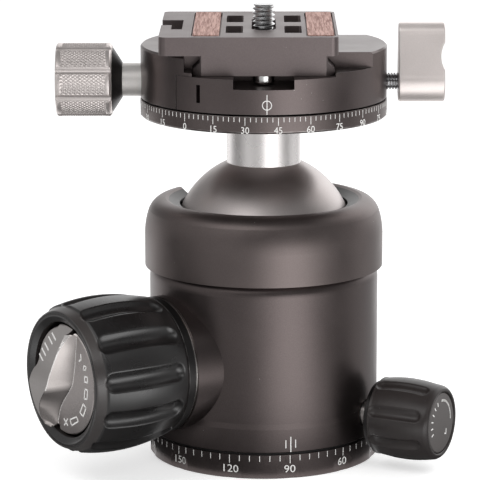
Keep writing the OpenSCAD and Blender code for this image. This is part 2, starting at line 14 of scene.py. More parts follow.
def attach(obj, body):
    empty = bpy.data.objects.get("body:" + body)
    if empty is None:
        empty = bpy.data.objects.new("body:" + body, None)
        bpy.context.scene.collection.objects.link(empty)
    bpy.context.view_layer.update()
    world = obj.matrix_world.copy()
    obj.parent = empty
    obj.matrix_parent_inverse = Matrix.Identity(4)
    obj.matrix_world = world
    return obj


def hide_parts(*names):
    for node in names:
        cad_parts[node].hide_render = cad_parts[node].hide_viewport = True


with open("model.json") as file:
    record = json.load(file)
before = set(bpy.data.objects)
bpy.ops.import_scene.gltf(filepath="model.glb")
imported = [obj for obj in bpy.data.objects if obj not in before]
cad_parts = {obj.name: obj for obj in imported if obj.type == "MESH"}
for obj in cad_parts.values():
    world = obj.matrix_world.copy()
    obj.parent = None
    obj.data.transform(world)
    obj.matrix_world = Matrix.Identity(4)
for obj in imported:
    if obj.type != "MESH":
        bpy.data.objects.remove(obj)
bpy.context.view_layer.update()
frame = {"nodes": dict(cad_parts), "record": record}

NODES = frame["nodes"]
BODY = {node: body for body, members in frame["record"]["behaviour"]["bodies"].items() for node in members}
SLOT = {part["node"]: part["material_slot"] for part in frame["record"]["subparts"]}

# %% [markdown]
# ## Where things are
# Every size below is in millimetres, as a maker would write it, and MM turns it into metres.
# Directions are in degrees round the pan axis, with -90 in front. The knobs stand on level axes
# that leave the pan axis in some direction, so one matrix turns "along the knob" into the place
# of that knob: its +Z points outward and its -X points up.

# %% Sizes and axes of the head
MM = 0.001
FULL_TURN = 2 * math.pi
FRONT_AZ = -90
BASE_R = 33.0
SCALE_R, CLAMP_R = 35.1, 35.0
MAIN_AZ, MAIN_Z = 214.35, 30.2
PAN_AZ, PAN_Z = -27.4, 14.5
CLAMP_KNOB_Z, LEVER_Z = 108.55, 108.05


def radial(az, z):
    """Local +Z points away from the pan axis in direction az, local -X points up."""
    return (Matrix.Translation((0, 0, z)) @ Matrix.Rotation(math.radians(az), 4, "Z")
            @ Matrix.Rotation(math.radians(90), 4, "Y"))


ON_MAIN, ON_PAN = radial(MAIN_AZ, MAIN_Z), radial(PAN_AZ, PAN_Z)
ON_LEFT, ON_RIGHT = radial(180, CLAMP_KNOB_Z), radial(0, LEVER_Z)
UPRIGHT = Matrix.Identity(4)
MAIN_OUTWARD = ON_MAIN.to_3x3() @ Vector((0, 0, 1))
print("main knob points to", [round(x, 3) for x in MAIN_OUTWARD])

# %% [markdown]
# ## The camera
# A long lens far away keeps the discs calm and the verticals straight. It stands a little above
# the clamp and looks slightly down, so that every disc shows its upper edge as a flat ellipse.

# %% Make the camera
CAMERA_PLACE = (0, -0.827, 0.2361)
SIDEWAYS, UPWARD, ROLL = 0.473, 78.1, -0.104


def in_scene(name, data):
    """A new object for a mesh, a curve, a light or a camera, linked to the scene."""
    obj = bpy.data.objects.new(name, data)
    bpy.context.scene.collection.objects.link(obj)
    return obj


lens = bpy.data.cameras.new("camera")
lens.lens, lens.sensor_width = 220.17, 36.0
lens.clip_start, lens.clip_end = 0.01, 20.0
camera = in_scene("camera", lens)
camera.matrix_world = (Matrix.Translation(CAMERA_PLACE)
                       @ Matrix.Rotation(math.radians(SIDEWAYS), 4, "Z")
                       @ Matrix.Rotation(math.radians(UPWARD), 4, "X")
                       @ Matrix.Rotation(math.radians(ROLL), 4, "Z"))
bpy.context.scene.camera = camera
bpy.context.scene.view_settings.view_transform = "Standard"
print("camera at", [round(x, 3) for x in camera.location])

# %% [markdown]
# ## Small helpers for node trees
# Shader trees and geometry trees are built the same way: add a node, then set or link its
# inputs. Most nodes here are Math nodes, and a long row of them is hard to read. So a value in a
# tree is wrapped in a small class whose + - * and / each add the node they stand for.

# %% Values that flow through a tree
class Flow:
    """A value in a node tree. Arithmetic with it adds Math nodes, so a tree reads like a formula."""

    def __init__(self, tree, socket):
        self.tree = tree
        self.socket = socket

    def then(self, operation, *others):
        return math_node(self.tree, operation, self, *others)

    def remap(self, low, high, to_low=0.0, to_high=1.0):
        """Low becomes to_low, high becomes to_high, and nothing passes either end."""
        return value_of(self.tree, "ShaderNodeMapRange", {
            "Value": self, "From Min": low, "From Max": high, "To Min": to_low, "To Max": to_high})

    def __add__(self, other):
        return self.then("ADD", other)

    def __radd__(self, other):
        return math_node(self.tree, "ADD", other, self)

    def __sub__(self, other):
        return self.then("SUBTRACT", other)

    def __rsub__(self, other):
        return math_node(self.tree, "SUBTRACT", other, self)

    def __mul__(self, other):
        return self.then("MULTIPLY", other)

    def __truediv__(self, other):
        return self.then("DIVIDE", other)

    def __rtruediv__(self, other):
        return math_node(self.tree, "DIVIDE", other, self)


def plug(tree, sockets, values):
    """Fills sockets by name or number: a value from another node is linked, any other is set."""
    for key, value in values.items():
        source = value.socket if isinstance(value, Flow) else value
        if isinstance(source, bpy.types.NodeSocket):
            tree.links.new(source, sockets[key])
        else:
            sockets[key].default_value = source


def add(tree, kind, inputs=None, **props):
    """Adds a node, sets its properties, then fills its inputs."""
    node = tree.nodes.new(kind)
    for key, value in props.items():
        setattr(node, key, value)
    plug(tree, node.inputs, inputs or {})
    return node


def value_of(tree, kind, inputs=None, output=0, **props):
    """Adds a node and gives the value of one of its outputs."""
    return Flow(tree, add(tree, kind, inputs, **props).outputs[output])


def math_node(tree, operation, *values):
    return value_of(tree, "ShaderNodeMath", dict(enumerate(values)), operation=operation)


trial = bpy.data.node_groups.new("trial", "ShaderNodeTree")
three_steps = math_node(trial, "SINE", 0.5) * 3.0 - 1.0
print("a formula of three steps made", len(three_steps.tree.nodes), "nodes")
bpy.data.node_groups.remove(trial)

# %% [markdown]
# A few nodes come back in nearly every tree: noise, a mix of two colours or two numbers, the
# x, y and z of a place, and its distance from the axis. A group is a tree of its own with named
# sockets, and the kind of a socket follows from the value that it starts with.

# %% Nodes that come back, and groups
# Sockets of a Mix node: its first value, its second value and its result
MIX_SOCKETS = {"RGBA": (6, 7, 2), "FLOAT": (2, 3, 0)}


def mixed(tree, kind, share, first, second):
    """Share 0 gives the first and 1 the second, for two "RGBA" colours or two "FLOAT" numbers."""
    low, high, result = MIX_SOCKETS[kind]
    return value_of(tree, "ShaderNodeMix", {0: share, low: first, high: second}, result, data_type=kind)


def noise(tree, vector, scale, detail=2.0, distortion=0.0):
    return value_of(tree, "ShaderNodeTexNoise", {
        "Vector": vector, "Scale": scale, "Detail": detail, "Distortion": distortion}, "Fac")


def axes(tree, vector):
    """The x, y and z of a vector."""
    return [Flow(tree, part) for part in add(tree, "ShaderNodeSeparateXYZ", {0: vector}).outputs]


def from_axis(x, y):
    """Distance from the Z axis."""
    return (x * x + y * y).then("SQRT")


def socket_kind(value):
    if isinstance(value, str):
        return "NodeSocket" + value
    if isinstance(value, tuple):
        return "NodeSocketColor" if len(value) == 4 else "NodeSocketVector"
    return "NodeSocketInt" if isinstance(value, int) else "NodeSocketFloat"


def new_group(name, kind, inputs, outputs):
    """A group with named sockets, with the values it is given and the sockets it puts out."""
    tree = bpy.data.node_groups.new(name, kind)
    for label, value in inputs.items():
        made = tree.interface.new_socket(name=label, in_out="INPUT", socket_type=socket_kind(value))
        if not isinstance(value, str):
            made.default_value = value
    for label, value in outputs.items():
        tree.interface.new_socket(name=label, in_out="OUTPUT", socket_type=socket_kind(value))
    given = {socket.name: Flow(tree, socket) for socket in tree.nodes.new("NodeGroupInput").outputs}
    return tree, given, tree.nodes.new("NodeGroupOutput").inputs


print("socket kinds:", [socket_kind(value) for value in ("Geometry", (1, 1, 1, 1), (0, 0, 0), 72, 0.5)])

# %% [markdown]
# ## Effects that several finishes share
# Real finishes differ in numbers, not in kind: all bead-blasted metal has a fine grain, all
# turned metal has rings round its axis, all edges rub bright first. Each effect is one group
# with named sockets that gives colours, roughness and heights, and never a shader. The grain
# adds broad slow clouds to the fine speckle, because no real surface is even all over.

# %% Group: blasted grain
CLOUDS_PER_METRE = 95.0


def make_grain():
    tree, given, out = new_group("blasted grain", "ShaderNodeTree", {
        "Vector": "Vector", "Grain per metre": 4200.0, "Light": (1, 1, 1, 1), "Dark": (0, 0, 0, 1),
        "Smooth": 0.3, "Rough": 0.4}, {"Color": "Color", "Roughness": "Float", "Height": "Float"})
    speckle = noise(tree, given["Vector"], given["Grain per metre"])
    clouds = noise(tree, given["Vector"], CLOUDS_PER_METRE, detail=3.0)
    share = (speckle * 0.55 + clouds * 0.45).remap(0.34, 0.66)
    plug(tree, out, {"Color": mixed(tree, "RGBA", share, given["Dark"], given["Light"]),
                     "Roughness": clouds.remap(0.3, 0.7, given["Smooth"], given["Rough"]),
                     "Height": speckle})
    return tree


GRAIN = make_grain()
print("group:", GRAIN.name)

# %% [markdown]
# Lathe marks are rings that do not change with the angle, so their noise reads only the
# distance from the axis and the height along it. Fibres are the same idea with a long stretch
# in front of the noise.

# %% Groups: lathe rings and streaks
def make_rings():
    tree, given, out = new_group("lathe rings", "ShaderNodeTree", {
        "Vector": "Vector", "Rings per metre": 3000.0}, {"Height": "Float"})
    x, y, z = axes(tree, given["Vector"])
    pitch = given["Rings per metre"]
    flat = value_of(tree, "ShaderNodeCombineXYZ", {0: from_axis(x, y) * pitch, 1: z * pitch})
    plug(tree, out, {"Height": noise(tree, flat, 1.0)})
    return tree


def make_streaks():
    tree, given, out = new_group("long streaks", "ShaderNodeTree", {
        "Vector": "Vector", "Stretch": (200, 4000, 4000), "Waviness": 0.0}, {"Value": "Float"})
    stretched = value_of(tree, "ShaderNodeVectorMath", {0: given["Vector"], 1: given["Stretch"]},
                         operation="MULTIPLY")
    plug(tree, out, {"Value": noise(tree, stretched, 1.0, 3.0, given["Waviness"])})
    return tree


RINGS, STREAKS = make_rings(), make_streaks()
print("groups:", RINGS.name, "and", STREAKS.name)

# %% [markdown]
# Handling polishes an edge: the black layer thins there and the metal shows a little. The
# rounded edges have a material of their own, and a noise breaks their bright line up. A second
# mask scatters a few specks of dust, as any used tool has.

# %% Groups: rubbed edges and dust
def make_rub():
    tree, given, out = new_group("rubbed edges", "ShaderNodeTree", {
        "Vector": "Vector", "Amount": 0.5}, {"Mask": "Float"})
    patch = noise(tree, given["Vector"], 350.0, detail=4.0)
    plug(tree, out, {"Mask": patch.remap(0.35, 0.65) * given["Amount"]})
    return tree


def make_dust():
    tree, given, out = new_group("dust specks", "ShaderNodeTree", {
        "Vector": "Vector", "Specks per metre": 420.0}, {"Mask": "Float"})
    to_speck = value_of(tree, "ShaderNodeTexVoronoi", {
        "Vector": given["Vector"], "Scale": given["Specks per metre"]}, "Distance")
    few = noise(tree, given["Vector"], 60.0).remap(0.55, 0.7)
    plug(tree, out, {"Mask": to_speck.remap(0.035, 0.06, 1.0, 0.0) * few})
    return tree


RUB, DUST = make_rub(), make_dust()
print("groups:", RUB.name, "and", DUST.name)

# %% [markdown]
# ## One recipe for every metal
# Anodised, satin and bright metal are all the same Principled shader with other numbers. The
# pattern reads Object coordinates, turned by a Mapping node so that its Z is the axis the
# piece was turned on. Whatever is the same all over is set straight on the shader's socket.
# The steps come first, because rubber and plastic use them as well.

# %% Steps of every finish
def place_vector(tree, axis=UPRIGHT):
    """Object coordinates, moved and turned into the frame of an axis."""
    back = axis.inverted()
    return value_of(tree, "ShaderNodeMapping", {
        "Vector": value_of(tree, "ShaderNodeTexCoord", output="Object"),
        "Location": back.to_translation() * MM, "Rotation": back.to_euler()})


def blank(name, **fixed):
    """A new material; fixed gives what is the same all over, with _ for the spaces in a name."""
    material = bpy.data.materials.new(name)
    material.use_nodes = True
    tree = material.node_tree
    shader = tree.nodes["Principled BSDF"].inputs
    plug(tree, shader, {key.replace("_", " "): value for key, value in fixed.items()})
    return material, tree, shader


def grained(tree, where, light, dark, smooth, rough, grain):
    """The start of every finish: a mottled colour and roughness, and a fine height."""
    return add(tree, "ShaderNodeGroup", {
        "Vector": where, "Light": (*light, 1), "Dark": (*dark, 1), "Smooth": smooth, "Rough": rough,
        "Grain per metre": grain}, node_tree=GRAIN).outputs


def laid_over(tree, colour, group, where, tone, **amount):
    """Lays one more tone over a colour, as far as the mask of a group says."""
    mask = value_of(tree, "ShaderNodeGroup", {"Vector": where, **amount}, node_tree=group)
    return mixed(tree, "RGBA", mask, colour, tone)


def finished(tree, shader, colour, rough, height, depth, strength=1.0):
    """Feeds the shader its colour, its roughness and its relief, depth millimetres high."""
    relief = value_of(tree, "ShaderNodeBump", {
        "Height": height, "Distance": depth * MM, "Strength": strength})
    plug(tree, shader, {"Base Color": colour, "Roughness": rough, "Normal": relief})


print("steps:", ", ".join(step.__name__ for step in (place_vector, blank, grained, laid_over, finished)))

# %% [markdown]
# Now the recipe itself: grain, lathe rings where the piece was turned, a rubbed tone where it is
# an edge, and dust where it lies in the open. Most metal pieces need it twice, once for faces
# and once for their rounded edges.

# %% Recipe for metal
METAL_GRAIN_PER_METRE = 4200.0
METAL_DUST = (0.55, 0.54, 0.52, 1)
RUBBED_METAL = (0.42, 0.40, 0.39, 1)


def metal(name, light, dark, smooth, rough, axis=UPRIGHT, metallic=1.0, grain=0.5, rings=0.5,
          ring_pitch=2600.0, rub=0.0, rub_to=RUBBED_METAL, depth=0.012, dusty=False):
    """Light, dark, smooth and rough are the ends of what varies; the rest is said by its name."""
    material, tree, shader = blank(name, Metallic=metallic)
    where = place_vector(tree, axis)
    base = grained(tree, where, light, dark, smooth, rough, METAL_GRAIN_PER_METRE)
    height = Flow(tree, base["Height"]) * grain
    if rings:
        turned_marks = value_of(tree, "ShaderNodeGroup", {"Vector": where, "Rings per metre": ring_pitch},
                                node_tree=RINGS)
        height = height + turned_marks * rings
    colour = base["Color"]
    if rub:
        colour = laid_over(tree, colour, RUB, where, rub_to, Amount=rub)
    if dusty:
        colour = laid_over(tree, colour, DUST, where, METAL_DUST)
    finished(tree, shader, colour, base["Roughness"], height, depth)
    return material


LOOK = {}


def pair(key, name, light, dark, smooth, rough, rub=0.6, rub_to=RUBBED_METAL, **more):
    """A finish for faces and one for their rounded, rubbed edges, which are a little smoother."""
    LOOK[key] = metal(name, light, dark, smooth, rough, **more)
    LOOK[key + "_edge"] = metal(name + " edge", light, dark, smooth * 0.9, rough * 0.9, rub=rub,
                                rub_to=rub_to, **more)


print("rubbed metal shows as", RUBBED_METAL[:3], "and dust as", METAL_DUST[:3])

# %% [markdown]
# Anodised aluminium is a dark dye in a thin layer of oxide on the metal, so it stays nearly all metal, with a
# dark warm colour. The collar, the clamp and the plate are a little paler than the housing, and the collar
# and the plate are also less smooth. The liner in the collar is turned and nearly black.

# %% Black anodised metal
ANODISED = {"metallic": 0.95, "depth": 0.006, "dusty": True}
LOOK["housing"] = metal("anodised housing", (0.136, 0.113, 0.110), (0.107, 0.088, 0.0865), 0.29, 0.36,
                        **ANODISED)
pair("collar", "anodised collar", (0.185, 0.155, 0.150), (0.148, 0.123, 0.119), 0.34, 0.42, **ANODISED)
pair("clamp", "anodised clamp", (0.166, 0.138, 0.135), (0.131, 0.108, 0.106), 0.29, 0.36, **ANODISED)
pair("plate", "anodised plate", (0.225, 0.189, 0.187), (0.184, 0.153, 0.151), 0.38, 0.46, metallic=0.92,
     rings=0, dusty=True, depth=0.008)
pair("knob_black", "black knob metal", (0.05, 0.047, 0.047), (0.035, 0.033, 0.033), 0.33, 0.4, rub=0.3,
     axis=ON_MAIN, metallic=0.9, depth=0.006)
LOOK["liner"] = metal("dark liner", (0.034, 0.031, 0.030), (0.024, 0.022, 0.021), 0.30, 0.36, grain=0.3,
                      rings=1.0, ring_pitch=1900.0, depth=0.02)
print("dark metals:", list(LOOK))

# %% [markdown]
# Most bright pieces are satin rather than mirror: bead-blasted or brushed, then left clear. Each
# takes the axis it was turned on, so that its fine rings run the right way round.

# %% Bright metal
SILVER = {"light": (0.86, 0.83, 0.80), "dark": (0.76, 0.73, 0.71), "smooth": 0.24, "rough": 0.32}
pair("lever_silver", "brushed lever", (0.84, 0.765, 0.74), (0.755, 0.69, 0.665), 0.32, 0.40, rub=0.5,
     rub_to=(0.9, 0.88, 0.86, 1), axis=ON_RIGHT, metallic=0.55, rings=0.6, depth=0.006)
LOOK["ball"] = metal("ball metal", (0.59, 0.54, 0.53), (0.51, 0.465, 0.455), 0.34, 0.42, grain=0.4,
                     rings=0.25, depth=0.004)
LOOK["neck"] = metal("satin neck", (1.0, 0.965, 0.955), (0.94, 0.905, 0.895), 0.24, 0.32, metallic=0.7,
                     depth=0.003)
LOOK["clamp_silver"] = metal("satin knurl", (0.87, 0.80, 0.775), (0.71, 0.65, 0.63), 0.30, 0.38,
                             axis=ON_LEFT, metallic=0.78, depth=0.004)
LOOK["shaft_silver"] = metal("turned shaft", (0.88, 0.85, 0.82), (0.78, 0.75, 0.73), 0.40, 0.48,
                             axis=ON_LEFT, metallic=0.55, depth=0.005, ring_pitch=1500)
LOOK["pan_silver"] = metal("turned pan shaft", **SILVER, axis=ON_PAN, depth=0.005, ring_pitch=1500)
LOOK["washer"] = metal("bright washer", **SILVER, axis=ON_MAIN, depth=0.003)
LOOK["steel"] = metal("machined steel", (0.66, 0.66, 0.66), (0.55, 0.55, 0.56), 0.16, 0.24, depth=0.002)
LOOK["chrome"] = metal("bright screw metal", (0.86, 0.86, 0.85), (0.76, 0.76, 0.75), 0.10, 0.16, depth=0.001)
LOOK["bronze"] = metal("machined bronze", (0.63, 0.45, 0.24), (0.5, 0.34, 0.17), 0.24, 0.34, depth=0.003)
print("metals so far:", len(LOOK))

# %% [markdown]
# The dial has four finishes on one piece: a blasted face, a pale flat beside the thumb grip, the satin slope
# of the grip, and its two near-white lines, which are a painted highlight. On the real dial the slope is
# scooped where the thumb rests, and shows darker there. The height map below is too plain for that, so shade
# is painted into the colour of the slope: it falls off in its lower half, by a mask that reads down and
# right.

# %% The four finishes of the dial
# Painted shade on the lower slope: its colour, and where it starts, is full and ends
THUMB_SHADE_TONE = (0.12, 0.108, 0.105, 1)
THUMB_SHADE_START, THUMB_SHADE_FULL, THUMB_SHADE_END = 1.6 * MM, 3.4 * MM, 13.0 * MM
DIAL_METAL = {"axis": ON_MAIN, "rings": 0.2}


def add_thumb_hollow(material):
    """Paints shade into the lower half of the slope, over a soft border."""
    tree = material.node_tree
    shader = tree.nodes["Principled BSDF"].inputs
    down, right, _ = axes(tree, place_vector(tree, ON_MAIN))
    below = down + right * 0.28
    shade = (below.remap(THUMB_SHADE_START, THUMB_SHADE_FULL, 0.0, 0.86)
             * below.remap(THUMB_SHADE_FULL, THUMB_SHADE_END, 1.0, 0.72))
    satin = shader["Base Color"].links[0].from_socket
    plug(tree, shader, {"Base Color": mixed(tree, "RGBA", shade, satin, THUMB_SHADE_TONE)})


LOOK["dial"] = metal("satin dial", (0.72, 0.665, 0.645), (0.64, 0.59, 0.57), 0.22, 0.28, depth=0.005,
                     **DIAL_METAL)
add_thumb_hollow(LOOK["dial"])
# Near-white and only a little metallic: a painted highlight along the crest and the foot of the slope
LOOK["dial_highlight_lines"] = metal("painted highlight lines", (0.97, 0.94, 0.92), (0.90, 0.87, 0.85), 0.2, 0.26,
                           metallic=0.35, depth=0.002, **DIAL_METAL)
LOOK["dial_flat"] = metal("pale blasted dial", (0.62, 0.585, 0.57), (0.54, 0.51, 0.495), 0.38, 0.46,
                          depth=0.008, **DIAL_METAL)
LOOK["dial_face"] = metal("blasted dial face", (0.60, 0.55, 0.535), (0.45, 0.41, 0.40), 0.26, 0.34,
                          axis=ON_MAIN, rings=0.8, ring_pitch=1800.0, depth=0.01)
print("metals in all:", len(LOOK))

# %% [markdown]
# ## Rubber, plastic and paint
# Moulded rubber is nearly black with a soft sheen that varies as if it had been handled, and
# a fine skin. White acetal slides hidden inside, the ring between base and housing is dark
# acetal, and the scales are printed in off-white paint. All of these are one recipe too.

# %% Rubber, acetal and paint
RUBBER_DUST = (0.22, 0.215, 0.21, 1)


def moulded(name, light, dark, smooth, rough, skin=5200.0, depth=0.02, dusty=True, shine=0.5):
    """Skin is the grain per metre of the surface, and shine how strongly it mirrors."""
    material, tree, shader = blank(name, Metallic=0.0, Specular_IOR_Level=shine)
    where = place_vector(tree)
    base = grained(tree, where, light, dark, smooth, rough, skin)
    colour = base["Color"]
    if dusty:
        colour = laid_over(tree, colour, DUST, where, RUBBER_DUST)
    finished(tree, shader, colour, base["Roughness"], base["Height"], depth, strength=0.6)
    return material


LOOK["rubber"] = moulded("grip rubber", (0.0135, 0.0121, 0.0121), (0.0085, 0.0077, 0.0078), 0.25, 0.33,
                         shine=1.0)
# A paler rubber for the front lip of the big grip: a painted sheen
LOOK["rubber_lip"] = moulded("rubber lip painted sheen", (0.055, 0.048, 0.046), (0.038, 0.033, 0.032), 0.26, 0.32,
                             shine=1.0)
LOOK["small_rubber"] = moulded("small grip rubber", (0.033, 0.027, 0.026), (0.022, 0.018, 0.0174),
                               0.27, 0.36)
LOOK["cap"] = moulded("cap disc", (0.115, 0.104, 0.101), (0.085, 0.077, 0.075), 0.42, 0.5)
LOOK["dark_acetal"] = moulded("dark acetal", (0.016, 0.015, 0.015), (0.010, 0.009, 0.009), 0.45, 0.55,
                              dusty=False)
LOOK["acetal"] = moulded("white acetal", (0.82, 0.81, 0.77), (0.74, 0.73, 0.69), 0.38, 0.48, dusty=False)
LOOK["paint"] = moulded("scale paint", (0.95, 0.94, 0.92), (0.84, 0.83, 0.81), 0.5, 0.6, skin=2600.0,
                        depth=0.01, dusty=False)
print("materials so far:", len(LOOK))

# %% [markdown]
# The strips on the plate are cork rubber, reddish brown with long fibres along the strip. A
# stretched noise draws the fibres, a round one adds flecks, and both go through one colour ramp.

# %% Cork rubber
def cork():
    material, tree, shader = blank("cork rubber", Metallic=0.0)
    where = place_vector(tree)
    fibre = value_of(tree, "ShaderNodeGroup", {
        "Vector": where, "Stretch": (2300, 110, 2300), "Waviness": 0.8}, node_tree=STREAKS)
    fleck = noise(tree, where, 2300.0, detail=3.0)
    both = fibre * 0.9 + fleck * 0.1
    ramp = add(tree, "ShaderNodeValToRGB", {"Fac": both})
    dark, light = ramp.color_ramp.elements
    dark.position, dark.color = 0.38, (0.27, 0.135, 0.112, 1)
    light.position, light.color = 0.62, (0.60, 0.385, 0.335, 1)
    finished(tree, shader, ramp.outputs[0], both.remap(0.0, 1.0, 0.75, 0.6), both, 0.08)
    return material


LOOK["cork"] = cork()
print("materials in all:", len(LOOK))

# %% [markdown]
# ## From mesh code to a piece
# Every shape is drawn in millimetres along its own axis, closed, with its normals outward, and `piece` puts
# it in its place in metres. The object itself stays at the origin, so the place is in the mesh. `settle`
# gives it to a CAD body and hides the CAD nodes it stands for.

# %% Making and settling pieces
def mesh_of(bm, name):
    """Turns mesh code into a mesh and frees it."""
    mesh = bpy.data.meshes.new(name)
    bm.to_mesh(mesh)
    bm.free()
    return mesh


def piece(name, bm, axis, materials):
    bmesh.ops.recalc_face_normals(bm, faces=bm.faces)
    mesh = mesh_of(bm, name)
    mesh.transform(Matrix.Scale(MM, 4) @ axis)
    for material in materials:
        mesh.materials.append(material)
    return in_scene(name, mesh)


def shade_smooth(obj, angle):
    """Smooth shading, with edges that turn by more than angle degrees left crisp."""
    obj.data.shade_smooth()
    obj.data.set_sharp_from_angle(angle=math.radians(angle))


def settle(obj, body, slot, *nodes):
    """Gives a piece its body, hides the nodes it stands for, and counts it; slot is not used."""
    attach(obj, body)
    if nodes:
        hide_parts(*nodes)
    count = sum(len(p.vertices) - 2 for p in obj.data.polygons)
    print(f"{obj.name}: {count} triangles, rides on {body}")


def evaluated_mesh(obj):
    """A plain mesh of the object as its modifiers, or its letters, make it."""
    bpy.context.view_layer.update()
    return bpy.data.meshes.new_from_object(obj.evaluated_get(bpy.context.evaluated_depsgraph_get()))


def bake(obj):
    """Keeps what the modifiers make, and drops the modifiers."""
    mesh = evaluated_mesh(obj)
    obj.modifiers.clear()
    obj.data = mesh
    return obj


print("bodies to ride on:", sorted(set(BODY.values())))

# %% [markdown]
# Most pieces of a ball head come off a lathe, so one function turns an outline about Z. An
# outline that starts and ends on the axis gives a closed solid, and a closed outline gives a
# ring with a bore. `fine` puts more points on an outline where a tree will move them later.

# %% A small lathe
def circle_row(bm, radius, height, steps):
    """One ring of points round Z, or a single point on it."""
    if radius < 1e-6:
        return [bm.verts.new((0, 0, height))]
    return [bm.verts.new((radius * math.cos(a), radius * math.sin(a), height))
            for a in (FULL_TURN * i / steps for i in range(steps))]


def bridge(bm, rows, steps):
    """Joins every row of points to the next with faces."""
    faces = []
    for low, high in zip(rows, rows[1:]):
        for i in range(steps):
            j = (i + 1) % steps
            corners = [low[i % len(low)], low[j % len(low)], high[j % len(high)], high[i % len(high)]]
            corners = list(dict.fromkeys(corners))
            if len(corners) > 2:
                faces.append(bm.faces.new(corners))
    return faces


def turned(profile, steps, closed=False):
    """A shape turned about Z from a list of (radius, height)."""
    bm = bmesh.new()
    rows = [circle_row(bm, radius, height, steps) for radius, height in profile]
    bridge(bm, rows + rows[:1] if closed else rows, steps)
    return bm


def fine(points, step):
    """The same outline with a point at least every step millimetres."""
    line = [points[0]]
    for a, b in zip(points, points[1:]):
        count = max(1, math.ceil(math.dist(a, b) / step))
        line += [tuple(a[k] + (b[k] - a[k]) * i / count for k in (0, 1)) for i in range(1, count + 1)]
    return line


print("a test disc has", len(turned([(0, 0), (1, 0), (1, 1), (0, 1)], 8).faces), "faces")

# %% [markdown]
# ## Rounded edges
# A CAD edge is perfectly sharp and catches no light. A machinist breaks every edge by a tenth
# or two of a millimetre, and anodising wears there first. So the CAD shape is copied, its flat
# faces are joined up, and a Bevel modifier rounds the edges and gives them their own material.
# The paddle of the thumb lever also narrows from its hub to its tip here.

# %% Bevelled copies
EDGE_ANGLE = 32


def taper_paddle(bm):
    """Moves the two sides of the paddle in, more the further they are above the lever's axis."""
    foot, half_width, narrowing, inner_side = 1.2, 5.55, 0.206, 2.9
    for v in bm.verts:
        at = v.co / MM
        up = at.z - LEVER_Z
        wide = half_width - narrowing * (up - foot)
        if up > foot and inner_side < abs(at.y) < wide:
            at.y = math.copysign(wide, at.y)
        v.co = at * MM


def softened(node, material, edge, width):
    bm = bmesh.new()
    bm.from_mesh(NODES[node].data)
    bmesh.ops.remove_doubles(bm, verts=bm.verts, dist=1e-6)
    bmesh.ops.dissolve_limit(bm, angle_limit=math.radians(0.5), verts=bm.verts, edges=bm.edges)
    if node == "thumb_lever":
        taper_paddle(bm)
    for face in bm.faces:
        face.material_index = 0
    mesh = mesh_of(bm, node + "_soft")
    mesh.materials.append(material)
    mesh.materials.append(edge)
    mesh.shade_smooth()
    obj = in_scene(node + "_soft", mesh)
    cut = obj.modifiers.new("edges", "BEVEL")
    cut.width, cut.segments = width * MM, 2
    cut.limit_method, cut.angle_limit = "ANGLE", math.radians(EDGE_ANGLE)
    cut.material, cut.miter_outer = 1, "MITER_ARC"
    cut.use_clamp_overlap, cut.loop_slide = True, True
    even = obj.modifiers.new("normals", "WEIGHTED_NORMAL")
    even.keep_sharp, even.weight, even.mode = True, 50, "FACE_AREA"
    settle(bake(obj), BODY[node], SLOT[node], node)


for node, finish, edge, width in (
        ("base_plate", "housing", "housing", 0.12), ("scale_disc", "collar", "collar_edge", 0.2),
        ("clamp_body", "clamp", "clamp_edge", 0.3), ("jaw", "clamp", "clamp_edge", 0.3),
        ("plate", "plate", "plate_edge", 0.35), ("thumb_lever", "lever_silver", "lever_silver_edge", 0.5),
        ("clamp_cone", "knob_black", "knob_black_edge", 0.2),
        ("pan_hub", "knob_black", "knob_black_edge", 0.15),
        ("knob_hub", "knob_black", "knob_black_edge", 0.2), ("stop_screws", "chrome", "chrome", 0.3)):
    softened(node, LOOK[finish], LOOK[edge], width)

# %% [markdown]
# ## Growing detail with Geometry Nodes
# A repeat is a tree, not a loop: the tree has named inputs, a modifier runs it once, and the
# result is kept as a plain mesh. Every tree ends in Realize Instances and Set Material. The
# next three trees move the points of a turned blank in and out, so they work with the distance
# from Z, the angle and the height of each point.

# %% Run a tree
SURFACE_IN = {"Geometry": "Geometry", "Material": "Material"}
SURFACE_OUT = {"Geometry": "Geometry"}


def grow(name, tree, values, base=None):
    """Runs a tree on a mesh, or on nothing where the tree makes its own."""
    obj = in_scene(name, base or bpy.data.meshes.new(name))
    run = obj.modifiers.new("grow", "NODES")
    run.node_group = tree
    ids = {item.name: item.identifier for item in tree.interface.items_tree if item.in_out == "INPUT"}
    for label, value in values.items():
        run[ids[label]] = value
    return bake(obj)


def polar(tree):
    """Distance from Z, angle and height of each point."""
    x, y, z = axes(tree, value_of(tree, "GeometryNodeInputPosition"))
    return from_axis(x, y), y.then("ARCTAN2", x), z


def round_place(tree, radius, angle, height):
    """The place at a radius, an angle and a height round Z."""
    return value_of(tree, "ShaderNodeCombineXYZ", {
        0: radius * angle.then("COSINE"), 1: radius * angle.then("SINE"), 2: height})


def set_places(tree, geometry, places):
    return value_of(tree, "GeometryNodeSetPosition", {"Geometry": geometry, "Position": places})


def ending(tree, geometry, material, out):
    real = value_of(tree, "GeometryNodeRealizeInstances", {0: geometry})
    done = value_of(tree, "GeometryNodeSetMaterial", {"Geometry": real, "Material": material})
    plug(tree, out, {"Geometry": done})


def surface_ending(tree, given, out, radius, angle, height):
    """Moves every point to its new radius and ends the tree."""
    places = round_place(tree, radius, angle, height)
    ending(tree, set_places(tree, given["Geometry"], places), given["Material"], out)


def between(height, start, end, fade):
    """1 between two heights, and 0 outside them, with a short fade just inside both."""
    return (height - start).remap(0.0, fade) * (end - height).remap(0.0, fade)


print("a surface tree is given", list(SURFACE_IN))

# %% [markdown]
# Finger grooves are round-ended scoops: a ball-nosed cutter of radius r whose centre runs
# outside the grip and follows its barrel. Each point finds its nearest groove, asks how deep the
# cutter would reach there, and takes the smaller radius with a soft minimum, which rounds the
# lips. A very large barrel radius makes the path straight, as for the milled flutes.

